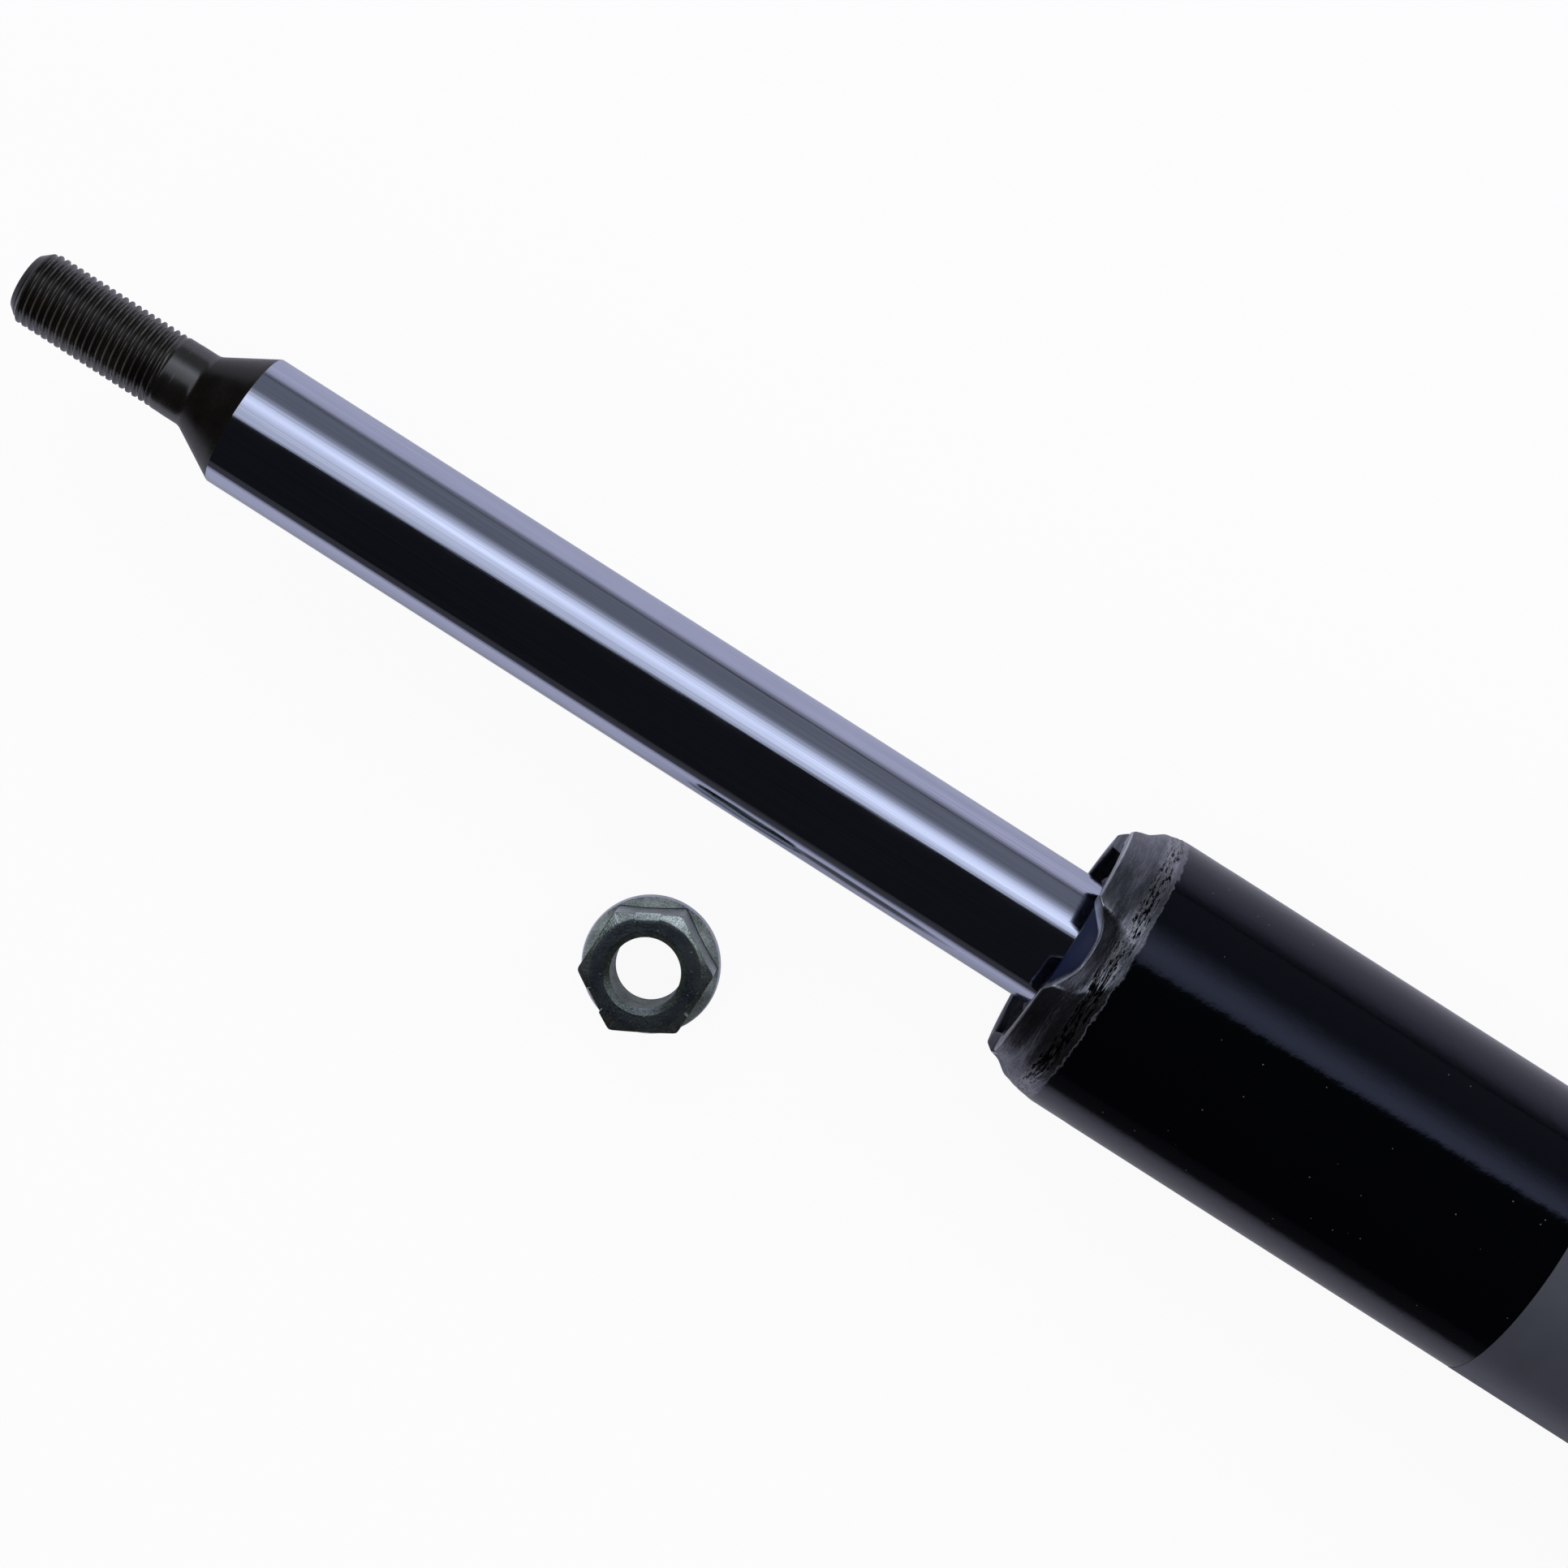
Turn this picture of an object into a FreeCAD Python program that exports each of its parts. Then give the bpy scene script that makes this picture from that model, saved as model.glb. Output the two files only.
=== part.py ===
"""Gas-charged twin-tube suspension strut without a spring seat, with its separate flange lock nut.

Millimetres. The strut lies down: its axis is X, +X points out of the threaded stud and +Z is up.
The origin is on the axis where the straight stud begins. Most places inside the cylinder are
depths, counted from the plane of the tube's rim towards its foot.
"""
import FreeCAD, Part
import math
import os

# Fits and seats
running_fit = 0.05          # radial gap of pieces that slide or turn in each other
seat_gap = 0.1              # gap between pieces that are assembled and stay still
stop_gap = 0.3              # gap between a moving piece and the stop that it rests on

# Travel
stroke = 170.0
closed_clearance = 18.8     # rod left outside the rim when the strut is closed
closed_end_clearance = 4.0  # rod's end to the base valve when the strut is closed

# Piston rod and its threaded stud
rod_d = 28.0
stud_d = 15.8
stud_length = 39.2
stud_chamfer = 2.0          # how much smaller the stud's end face is, in radius
stud_chamfer_length = 2.4
shoulder_angle = 30.0       # half-angle of the cone under the stud
shoulder_fillet = 3.0
spigot_d = 16.0             # rod's reduced end, which carries the piston
spigot_end_chamfer = 1.0
piston_distance = 60.0      # from the rod guide's foot to the rod's piston shoulder

# Reservoir tube with its crimped neck and reduced foot
tube_d = 59.0
tube_wall = 2.5
neck_reduction = 2.9        # how much smaller the rim is than the tube, in radius
neck_length = 10.0
neck_radius = 11.5          # round between the neck's cone and the tube
crimp_count = 4
crimp_clearance = 4.6       # from the rod to a crimp's inner side, were it to reach the rim
crimp_length = 9.2          # depth at which a crimp runs out
crimp_radius = 13.0
crimp_first_angle = 7.0     # from +Y towards +Z
notch_depth = 4.2           # how far a crimp lowers the lip
notch_radius = 9.0
foot_taper_length = 12.0

# Seal pack and rod guide
wiper_depth = 1.6
wiper_wall = 1.5
seal_wall = 3.8
seal_relief = 0.8
seal_lip_length = 5.0
insert_thickness = 2.0
garter_wire_d = 1.8
garter_lip_wall = 2.4
guide_flange = 8.0
guide_recess_depth = 6.0
guide_recess_gap = 0.8
guide_foot = 12.0
bushing_wall = 1.5
bushing_length = 12.0
guide_passage_d = 3.0
guide_passage_count = 3
o_ring_d = 2.0
o_ring_squeeze_room = 0.2

# Pressure tube
bore_d = 36.0
pressure_wall = 1.5

# Rebound stop
cushion_length = 8.0
cushion_wall = 3.1
cushion_round = 1.2
stop_ring_width = 3.0
stop_ring_wall = 3.8
stop_groove_depth = 1.0

# Piston
piston_height = 12.0
piston_side_gap = 0.5
band_width = 8.0
band_thickness = 0.9
support_thickness = 2.0
support_d = 30.0
plate_thickness = 0.8
plate_lift = 0.8
spring_thickness = 0.6
spring_width = 3.6
boss_wall = 2.3
port_count = 8
port_d = 2.6
inner_port_d = 2.0
seat_land = 1.2
shim_count = 3
shim_thickness = 0.4
shim_d = 30.0
backing_thickness = 2.0
backing_d = 21.0
piston_nut_af = 22.0
piston_nut_height = 9.0
nut_protrusion = 2.0

# Base valve and bottom cap
bolt_d = 7.0
bolt_head_d = 15.0
bolt_head_height = 2.5
bolt_tail = 3.0
base_boss_wall = 2.0
base_spigot = 10.0
base_flange = 4.0
base_foot_height = 7.0
base_foot_wall = 2.5
base_slot_count = 4
base_slot_width = 7.0
base_shim_count = 3
base_shim_d = 21.0
cap_thickness = 3.5
cap_skirt = 6.0
cap_skirt_wall = 3.5
cap_bend = 2.5
weld_leg = 3.5

# Knuckle bracket
bracket_sheet = 4.5
bracket_end_gap = 9.0       # from the bracket's lower edge to the tube's end
bracket_top_gap = 9.0       # from the bracket's upper edge to the tube's taper
bolt_offset = 55.0          # knuckle bolts from the strut's axis
bolt_spacing = 46.0
bolt_hole_d = 16.5
ear_wall = 10.75            # sheet left beyond the bolt holes
ear_side_wall = 8.75        # sheet left beside them, where the ears are full
ear_corner = 15.0
ear_taper = 4.0             # how far each side of an ear runs in towards its end
channel_sheet = 3.0
channel_reach = 16.0
channel_length = 64.0

# Brake hose bracket
hose_depth = 190.0
hose_angle = 45.0           # from +Y towards +Z
hose_sheet = 2.5
hose_width = 24.0
hose_height = 27.0
hose_foot = 12.0
hose_bend = 3.0
hose_hole_d = 10.5
hose_hole_height = 16.0
hose_weld_leg = 2.5

# Flange lock nut, which lies beside the rod
nut_af = 24.0
nut_height = 16.0
nut_flange_d = 28.7
nut_flange_edge = 1.4
nut_flange_rise = 3.0
nut_cone_d = 25.0
nut_face_d = 22.6
nut_chamfer_rise = 1.2
nut_bore_d = 14.4
nut_countersink_d = 16.8
nut_turn = 29.6
nut_dent_width = 4.9
nut_dent_depth = 1.0
nut_dent_height = 2.4
nut_x = -135.5
nut_y = 51.9

# Derived radii
rod_r = rod_d / 2
stud_r = stud_d / 2
spigot_r = spigot_d / 2
tube_r = tube_d / 2
tube_in_r = tube_r - tube_wall
rim_r = tube_r - neck_reduction
crimp_push = rim_r - tube_wall - rod_r - crimp_clearance
foot_r = tube_r - bracket_sheet - seat_gap
foot_in_r = foot_r - tube_wall
bore_r = bore_d / 2
pressure_r = bore_r + pressure_wall
floor_z = -tube_r

# Neck: the straight side leaves the rim and runs tangent into the round
neck_drop = neck_reduction - neck_radius
neck_angle = math.atan2(neck_drop, neck_length) + math.asin(neck_radius / math.hypot(neck_length, neck_drop))
crimp_slope = (neck_reduction + crimp_push) / crimp_length
crimp_angle = math.atan(crimp_slope)

# Depths from the rim, one piece below the other
crimp_reach = (tube_in_r - rim_r + crimp_push + tube_wall / math.cos(crimp_angle)) / crimp_slope
insert_top = max(crimp_reach, neck_length) + seat_gap
insert_foot = insert_top + insert_thickness
guide_top = insert_foot + seat_gap
guide_seat = guide_top + guide_flange
guide_end = guide_seat + guide_foot
cushion_top = guide_end + stop_gap
stop_top = cushion_top + cushion_length + seat_gap
rod_shoulder = guide_end + piston_distance
support_foot = rod_shoulder + support_thickness
boss_height = plate_thickness + plate_lift + seat_gap + spring_thickness + seat_gap
piston_deck = support_foot + boss_height
piston_foot = piston_deck + piston_height
shims_foot = piston_foot + shim_count * shim_thickness
backing_foot = shims_foot + backing_thickness
piston_nut_foot = backing_foot + piston_nut_height
rod_end = piston_nut_foot + nut_protrusion
bolt_top = rod_end + stroke + closed_end_clearance
base_boss_top = bolt_top + bolt_head_height
base_deck = base_boss_top + boss_height
pressure_end = base_deck + base_spigot
base_flange_foot = pressure_end + base_flange
cap_top = base_flange_foot + base_foot_height + seat_gap
tube_length = cap_top + cap_thickness + cap_skirt
bracket_length = bolt_spacing + bolt_hole_d + 2 * ear_side_wall
bracket_foot = tube_length - bracket_end_gap
bracket_top = bracket_foot - bracket_length
foot_top = bracket_top - bracket_top_gap
taper_top = foot_top - foot_taper_length
ear_reach = bolt_offset + bolt_hole_d / 2 + ear_wall

# Places along X
fillet_run = shoulder_fillet * math.tan(math.radians(shoulder_angle) / 2)
cone_length = (rod_r - stud_r) / math.tan(math.radians(shoulder_angle))
cone_foot_x = -fillet_run - cone_length
rim_x = cone_foot_x - stroke - closed_clearance

axis_x = FreeCAD.Vector(1, 0, 0)
axis_y = FreeCAD.Vector(0, 1, 0)
axis_z = FreeCAD.Vector(0, 0, 1)
centre = FreeCAD.Vector(0, 0, 0)


def at_depth(depth):
    return rim_x - depth


def turned(points, sweep=360.0):
    """Solid turned about the strut's axis from an outline of (depth, radius) points."""
    corners = [FreeCAD.Vector(at_depth(depth), radius, 0) for depth, radius in points]
    face = Part.Face(Part.makePolygon(corners + corners[:1]))
    return face.revolve(centre, axis_x, sweep)


def ring(top, foot, inner, outer):
    """Plain ring or tube between two depths and two radii; an inner radius of 0 gives a rod."""
    return turned([(top, inner), (top, outer), (foot, outer), (foot, inner)])


def about_axis(shape, angle):
    turned_copy = shape.copy()
    turned_copy.rotate(centre, axis_x, angle)
    return turned_copy


def pattern(shape, count, first_angle=0.0):
    """Copies of a shape spaced evenly round the strut's axis."""
    return [about_axis(shape, first_angle + i * 360.0 / count) for i in range(count)]


def hexagon(across_flats, height, base, direction):
    """Hexagonal prism that starts at base and grows along direction, with a corner on local X."""
    corner_r = across_flats / 2 / math.cos(math.radians(30))
    corners = [FreeCAD.Vector(corner_r * math.cos(math.radians(60 * i)),
                              corner_r * math.sin(math.radians(60 * i)), 0) for i in range(6)]
    face = Part.Face(Part.makePolygon(corners + corners[:1]))
    prism = face.extrude(axis_z * height)
    prism.Placement = FreeCAD.Placement(base, FreeCAD.Rotation(axis_z, direction))
    return prism


def edges_where(shape, test):
    return [edge for edge in shape.Edges if test(edge)]


def is_ring_at(edge, x, radius, tolerance=0.01):
    """Whether an edge is a circle about the strut's axis at this place and radius."""
    curve = edge.Curve
    return (isinstance(curve, Part.Circle) and abs(curve.Center.x - x) < tolerance
            and abs(curve.Radius - radius) < tolerance)


def piston_rod():
    tip = stud_length
    angle = math.radians(shoulder_angle)
    fillet_centre = FreeCAD.Vector(0, stud_r + shoulder_fillet, 0)
    half_turn = angle / 2
    fillet_start = FreeCAD.Vector(0, stud_r, 0)
    to_middle = FreeCAD.Vector(-math.sin(half_turn), -math.cos(half_turn), 0)
    to_end = FreeCAD.Vector(-math.sin(angle), -math.cos(angle), 0)
    fillet_middle = fillet_centre + to_middle * shoulder_fillet
    fillet_end = fillet_centre + to_end * shoulder_fillet
    shoulder_x = at_depth(rod_shoulder)
    end_x = at_depth(rod_end)
    points = [FreeCAD.Vector(x, r, 0) for x, r in [
        (cone_foot_x, rod_r), (shoulder_x, rod_r), (shoulder_x, spigot_r),
        (end_x + spigot_end_chamfer, spigot_r), (end_x, spigot_r - spigot_end_chamfer), (end_x, 0),
        (tip, 0), (tip, stud_r - stud_chamfer), (tip - stud_chamfer_length, stud_r), (0, stud_r)]]
    edges = [Part.Arc(fillet_start, fillet_middle, fillet_end).toShape()]
    edges += Part.makePolygon([fillet_end] + points).Edges
    rod = Part.Face(Part.Wire(edges)).revolve(centre, axis_x, 360)
    groove = ring(stop_top - seat_gap / 2, stop_top + stop_ring_width + seat_gap / 2,
                  rod_r - stop_groove_depth, rod_r + 1)
    return rod.cut(groove)


def neck_outline(radius, wall):
    """Points and round of the neck's side at a wall's offset: rim end, round's start and middle."""
    tangent = (neck_length - (neck_radius - wall) * math.sin(neck_angle),
               tube_r - neck_radius + (neck_radius - wall) * math.cos(neck_angle))
    middle_angle = neck_angle / 2
    middle = (neck_length - (neck_radius - wall) * math.sin(middle_angle),
              tube_r - neck_radius + (neck_radius - wall) * math.cos(middle_angle))
    run_out = -2 * tube_wall
    rim_end = (run_out, tangent[1] + (run_out - tangent[0]) * math.tan(neck_angle))
    return rim_end, tangent, middle, (neck_length, radius)


def tube_envelope(wall, end):
    """Solid of revolution inside the tube's outer or inner side, longer than the tube at the rim."""
    side_r = tube_r - wall
    low_r = foot_r - wall
    rim_end, tangent, middle, round_end = neck_outline(side_r, wall)

    def place(point):
        return FreeCAD.Vector(at_depth(point[0]), point[1], 0)

    edges = [Part.makeLine(place((rim_end[0], 0)), place(rim_end)),
             Part.makeLine(place(rim_end), place(tangent)),
             Part.Arc(place(tangent), place(middle), place(round_end)).toShape()]
    rest = [round_end, (taper_top, side_r), (foot_top, low_r), (end, low_r), (end, 0), (rim_end[0], 0)]
    edges += Part.makePolygon([place(point) for point in rest]).Edges
    envelope = Part.Face(Part.Wire(edges)).revolve(centre, axis_x, 360)
    between_crimps = crimp_first_angle + 180.0 / crimp_count
    return about_axis(envelope, between_crimps)


def crimp_punch(radius):
    """Cylinder that presses one crimp: it leans outwards and runs out on the tube's shoulder."""
    lean = FreeCAD.Vector(math.cos(crimp_angle), -math.sin(crimp_angle), 0)
    outwards = FreeCAD.Vector(math.sin(crimp_angle), math.cos(crimp_angle), 0)
    on_line = FreeCAD.Vector(at_depth(crimp_length), tube_r, 0)
    start = on_line + outwards * crimp_radius - lean * (2 * crimp_length)
    return Part.makeCylinder(radius, 4 * crimp_length, start, lean)


def reservoir_tube():
    """Outer tube: its crimps are pressed through the wall, so the inner side follows the outer one."""
    outside = tube_envelope(0, tube_length)
    inside = tube_envelope(tube_wall, tube_length + 1)
    outside = outside.cut(pattern(crimp_punch(crimp_radius), crimp_count, crimp_first_angle))
    inside = inside.cut(pattern(crimp_punch(crimp_radius + tube_wall), crimp_count, crimp_first_angle))
    tube = outside.cut(inside)
    above_rim = ring(-10 * tube_wall, 0, 0, 2 * tube_r)
    notch_centre = FreeCAD.Vector(at_depth(notch_depth - notch_radius), 0, 0)
    notch = Part.makeCylinder(notch_radius, 2 * tube_r, notch_centre, axis_y)
    tube = tube.cut([above_rim] + pattern(notch, crimp_count, crimp_first_angle))
    return tube.removeSplitter()


def rod_seal():
    """Rubber ring round the rod: a wiper lip above, an oil lip below and a relieved waist between."""
    hug = rod_r + running_fit
    body = rod_r + seal_wall
    body_top = insert_top - insert_thickness
    lip_end = guide_top + seal_lip_length
    lip_r = rod_r + garter_lip_wall
    insert_bore = body - seat_gap
    return turned([
        (wiper_depth, hug), (wiper_depth, rod_r + wiper_wall), (body_top, body),
        (insert_top - seat_gap, body), (insert_top - seat_gap, insert_bore),
        (insert_foot, insert_bore), (insert_foot, lip_r),
        (lip_end, lip_r), (lip_end, hug), (guide_top, rod_r + seal_relief),
        (body_top, rod_r + seal_relief)])


def seal_insert():
    return ring(insert_top, insert_foot, rod_r + seal_wall, tube_in_r - seat_gap)


def garter_spring():
    wire_r = garter_wire_d / 2
    coil_r = rod_r + garter_lip_wall + seat_gap + wire_r
    depth = guide_top + seal_lip_length - wire_r
    return Part.makeTorus(coil_r, wire_r, FreeCAD.Vector(at_depth(depth), 0, 0), axis_x)


def guide_recess_r():
    return rod_r + garter_lip_wall + seat_gap + garter_wire_d + guide_recess_gap


def rod_guide():
    """Sintered guide: a flange in the reservoir tube and a foot in the pressure tube's bore."""
    outer = tube_in_r - seat_gap
    bush_bore = rod_r + running_fit + bushing_wall + seat_gap
    throat = rod_r + seal_relief
    recess = guide_recess_r()
    recess_floor = guide_top + guide_recess_depth
    bush_top = guide_end - bushing_length
    groove_top = guide_top + (guide_flange - o_ring_d) / 2 - o_ring_squeeze_room
    groove_foot = groove_top + o_ring_d + 2 * o_ring_squeeze_room
    groove_r = outer - o_ring_d - o_ring_squeeze_room
    body = turned([
        (guide_top, recess), (guide_top, outer), (groove_top, outer), (groove_top, groove_r),
        (groove_foot, groove_r), (groove_foot, outer), (guide_seat, outer), (guide_seat, bore_r - seat_gap),
        (guide_end, bore_r - seat_gap), (guide_end, bush_bore), (bush_top, bush_bore), (bush_top, throat),
        (recess_floor, throat), (recess_floor, recess)])
    passage_r = (pressure_r + groove_r) / 2
    passage = Part.makeCylinder(guide_passage_d / 2, guide_flange + 2,
                                FreeCAD.Vector(at_depth(guide_seat + 1), passage_r, 0), axis_x)
    return body.cut(pattern(passage, guide_passage_count, crimp_first_angle))


def guide_bushing():
    inner = rod_r + running_fit
    return ring(guide_end - bushing_length + seat_gap, guide_end, inner, inner + bushing_wall)


def guide_o_ring():
    centre_r = tube_in_r - seat_gap - o_ring_d / 2
    depth = guide_top + guide_flange / 2
    return Part.makeTorus(centre_r, o_ring_d / 2, FreeCAD.Vector(at_depth(depth), 0, 0), axis_x)


def pressure_tube():
    return ring(guide_seat + seat_gap, pressure_end - seat_gap, bore_r, pressure_r)


def rebound_cushion():
    inner = rod_r + seat_gap
    cushion = ring(cushion_top, cushion_top + cushion_length, inner, rod_r + cushion_wall)
    rims = edges_where(cushion, lambda edge: isinstance(edge.Curve, Part.Circle)
                       and edge.Curve.Radius > rod_r + cushion_wall / 2)
    return cushion.makeFillet(min(cushion_round, 0.45 * cushion_wall), rims)


def rebound_stop_ring():
    inner = rod_r - stop_groove_depth + seat_gap / 2
    return ring(stop_top, stop_top + stop_ring_width, inner, inner + stop_ring_wall)


def boss_r():
    return spigot_r + running_fit + boss_wall


def piston_support():
    return ring(rod_shoulder + seat_gap / 2, support_foot - seat_gap / 2,
                spigot_r + running_fit, support_d / 2)


def plate_spring(boss_top, hub_r):
    """Flat three-armed wave spring round a valve boss, just under what carries it."""
    inner = hub_r + seat_gap
    outer = inner + spring_width
    top = boss_top + seat_gap / 2
    body = ring(top, top + spring_thickness, inner, outer)
    arm_angle = 120.0
    slot_sweep = arm_angle / 2
    slot = turned([(top - 1, inner + spring_width * 0.45), (top - 1, inner + spring_width * 0.65),
                   (top + spring_thickness + 1, inner + spring_width * 0.65),
                   (top + spring_thickness + 1, inner + spring_width * 0.45)], slot_sweep)
    return body.cut(pattern(slot, 3))


def piston_check_spring():
    return plate_spring(support_foot, boss_r())


def piston_ports_r():
    return (boss_r() + bore_r - piston_side_gap) / 2 + port_d / 2


def piston_check_plate():
    """Ring that covers the outer ports and lifts off them on the compression stroke."""
    return ring(piston_deck - plate_thickness, piston_deck,
                boss_r() + seat_gap, piston_ports_r() + port_d / 2 + seat_land)


def piston_body():
    """Sintered piston: a deck with outer and inner ports, a boss for the plate and a band groove."""
    side = bore_r - piston_side_gap
    bore = spigot_r + running_fit
    groove_r = bore_r - running_fit - band_thickness - running_fit
    groove_top = piston_deck + (piston_height - band_width) / 2 - seat_gap
    groove_foot = groove_top + band_width + 2 * seat_gap
    deck = piston_deck + running_fit
    foot = piston_foot - running_fit
    body = turned([
        (support_foot + running_fit, bore), (support_foot + running_fit, boss_r()), (deck, boss_r()),
        (deck, side), (groove_top, side), (groove_top, groove_r), (groove_foot, groove_r),
        (groove_foot, side), (foot, side), (foot, bore)])
    outer_port = Part.makeCylinder(port_d / 2, 2 * piston_height,
                                   FreeCAD.Vector(at_depth(piston_foot + 1), piston_ports_r(), 0), axis_x)
    inner_r = (boss_r() + piston_ports_r() - port_d / 2) / 2
    inner_port = Part.makeCylinder(inner_port_d / 2, 2 * piston_height,
                                   FreeCAD.Vector(at_depth(piston_foot + 1), inner_r, 0), axis_x)
    ports = pattern(outer_port, port_count) + pattern(inner_port, port_count, 180.0 / port_count)
    return body.cut(ports)


def piston_band():
    outer = bore_r - running_fit
    top = piston_deck + (piston_height - band_width) / 2
    return ring(top, top + band_width, outer - band_thickness, outer)


def disc_stack(top, count, thickness, first_d, inner):
    """Shims that lie on each other, each smaller than the one before, as separate discs."""
    step = (first_d / 2 - inner) / (count + 1)
    return Part.makeCompound([ring(top + i * thickness + running_fit / 4, top + (i + 1) * thickness,
                                   inner, first_d / 2 - i * step) for i in range(count)])


def rebound_shims():
    return disc_stack(piston_foot, shim_count, shim_thickness, shim_d, spigot_r + running_fit)


def shim_backing():
    return ring(shims_foot + running_fit, backing_foot, spigot_r + running_fit, backing_d / 2)


def piston_nut():
    start = FreeCAD.Vector(at_depth(piston_nut_foot), 0, 0)
    prism = hexagon(piston_nut_af, piston_nut_height - running_fit, start, axis_x)
    bore = Part.makeCylinder(spigot_r + running_fit, 2 * piston_nut_height,
                             start - axis_x * (piston_nut_height / 2), axis_x)
    return prism.cut(bore)


def base_boss_r():
    return bolt_d / 2 + running_fit + base_boss_wall


def base_ports_r():
    return (base_boss_r() + bore_r) / 2 + port_d / 2


def base_valve_body():
    """Plug under the pressure tube: spigot in its bore, flange under its end and slotted foot."""
    bore = bolt_d / 2 + running_fit
    deck = base_deck + running_fit
    shim_room = base_shim_d / 2 + 1
    body = turned([
        (base_boss_top + running_fit, bore), (base_boss_top + running_fit, base_boss_r()),
        (deck, base_boss_r()), (deck, bore_r - seat_gap),
        (pressure_end, bore_r - seat_gap), (pressure_end, pressure_r),
        (cap_top - seat_gap, pressure_r), (cap_top - seat_gap, pressure_r - base_foot_wall),
        (base_flange_foot, pressure_r - base_foot_wall), (base_flange_foot, shim_room),
        (pressure_end, shim_room), (pressure_end, bore)])
    port = Part.makeCylinder(port_d / 2, 3 * base_spigot,
                             FreeCAD.Vector(at_depth(base_flange_foot + 1), base_ports_r(), 0), axis_x)
    shim_port = Part.makeCylinder(inner_port_d / 2, 3 * base_spigot,
                                  FreeCAD.Vector(at_depth(base_flange_foot + 1),
                                                 base_boss_r() + inner_port_d, 0), axis_x)
    slot = Part.makeBox(base_foot_height, pressure_r, base_slot_width,
                        FreeCAD.Vector(at_depth(cap_top), 0, -base_slot_width / 2))
    cuts = pattern(port, port_count) + pattern(shim_port, port_count, 180.0 / port_count)
    return body.cut(cuts + pattern(slot, base_slot_count))


def base_check_plate():
    """Ring that covers the base's outer ports and lifts off them on the rebound stroke."""
    return ring(base_deck - plate_thickness, base_deck,
                base_boss_r() + seat_gap, base_ports_r() + port_d / 2 + seat_land)


def base_check_spring():
    return plate_spring(base_boss_top, base_boss_r())


def base_shims():
    return disc_stack(pressure_end, base_shim_count, shim_thickness, base_shim_d, bolt_d / 2 + running_fit)


def base_valve_bolt():
    """Shouldered rivet that clamps the base valve, with its closed tail under the shims."""
    shims_end = pressure_end + base_shim_count * shim_thickness + running_fit
    return turned([
        (bolt_top, 0), (bolt_top, bolt_head_d / 2), (base_boss_top, bolt_head_d / 2),
        (base_boss_top, bolt_d / 2), (shims_end, bolt_d / 2), (shims_end, bolt_d),
        (shims_end + bolt_tail, bolt_d * 0.8), (shims_end + bolt_tail, 0)])


def bottom_cap():
    """Pressed dish in the tube's foot, skirt outwards, with a round between disc and skirt."""
    outer = foot_in_r - seat_gap
    inner = outer - cap_skirt_wall
    dish = turned([
        (cap_top, 0), (cap_top, outer), (tube_length, outer), (tube_length, inner),
        (cap_top + cap_thickness, inner), (cap_top + cap_thickness, 0)])
    inside = edges_where(dish, lambda edge: is_ring_at(edge, at_depth(cap_top + cap_thickness), inner))
    outside = edges_where(dish, lambda edge: is_ring_at(edge, at_depth(cap_top), outer))
    dish = dish.makeFillet(min(cap_bend, 0.6 * cap_skirt), inside)
    outside = edges_where(dish, lambda edge: is_ring_at(edge, at_depth(cap_top), outer))
    return dish.makeFillet(min(cap_bend, 0.6 * cap_thickness), outside)


def base_weld():
    """Bead that joins the cap's skirt to the tube's end."""
    middle = foot_in_r - seat_gap / 2
    half = min(weld_leg, tube_wall) * 0.8
    return turned([(tube_length, middle - half), (tube_length, middle + half),
                   (tube_length + half / 2, middle + half / 2), (tube_length + half / 2, middle - half / 2)])


def knuckle_bracket():
    """Pressed U: half of it wraps the tube's foot and two parallel, tapered ears reach out to -Y."""
    outer = tube_r
    inner = tube_r - bracket_sheet
    foot_x = at_depth(bracket_foot)
    top_x = at_depth(bracket_top)

    def place(y, z):
        return FreeCAD.Vector(foot_x, y, z)

    wrap_out = Part.Arc(place(0, -outer), place(outer, 0), place(0, outer)).toShape()
    wrap_in = Part.Arc(place(0, inner), place(inner, 0), place(0, -inner)).toShape()
    edges = [wrap_out, Part.makeLine(place(0, outer), place(-ear_reach, outer)),
             Part.makeLine(place(-ear_reach, outer), place(-ear_reach, inner)),
             Part.makeLine(place(-ear_reach, inner), place(0, inner)), wrap_in,
             Part.makeLine(place(0, -inner), place(-ear_reach, -inner)),
             Part.makeLine(place(-ear_reach, -inner), place(-ear_reach, -outer)),
             Part.makeLine(place(-ear_reach, -outer), place(0, -outer))]
    sheet = Part.Face(Part.Wire(edges)).extrude(axis_x * bracket_length)
    plan = [(foot_x, 2 * tube_r), (foot_x, -foot_r), (foot_x + ear_taper, -ear_reach),
            (top_x - ear_taper, -ear_reach), (top_x, -foot_r), (top_x, 2 * tube_r)]
    plan_corners = [FreeCAD.Vector(x, y, -2 * tube_r) for x, y in plan]
    plan_face = Part.Face(Part.makePolygon(plan_corners + plan_corners[:1]))
    sheet = sheet.common(plan_face.extrude(axis_z * 4 * tube_r))
    corners = edges_where(sheet, lambda edge: abs(edge.BoundBox.YMin + ear_reach) < 0.01
                          and edge.BoundBox.YLength < 0.01
                          and abs(edge.BoundBox.ZLength - bracket_sheet) < 0.01)
    sheet = sheet.makeFillet(ear_corner, corners)
    holes = [Part.makeCylinder(bolt_hole_d / 2, 4 * tube_r,
                               FreeCAD.Vector(x, -bolt_offset, -2 * tube_r), axis_z)
             for x in bolt_places()]
    return sheet.cut(holes)


def bolt_places():
    middle = at_depth((bracket_top + bracket_foot) / 2)
    return [middle + bolt_spacing / 2, middle - bolt_spacing / 2]


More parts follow.
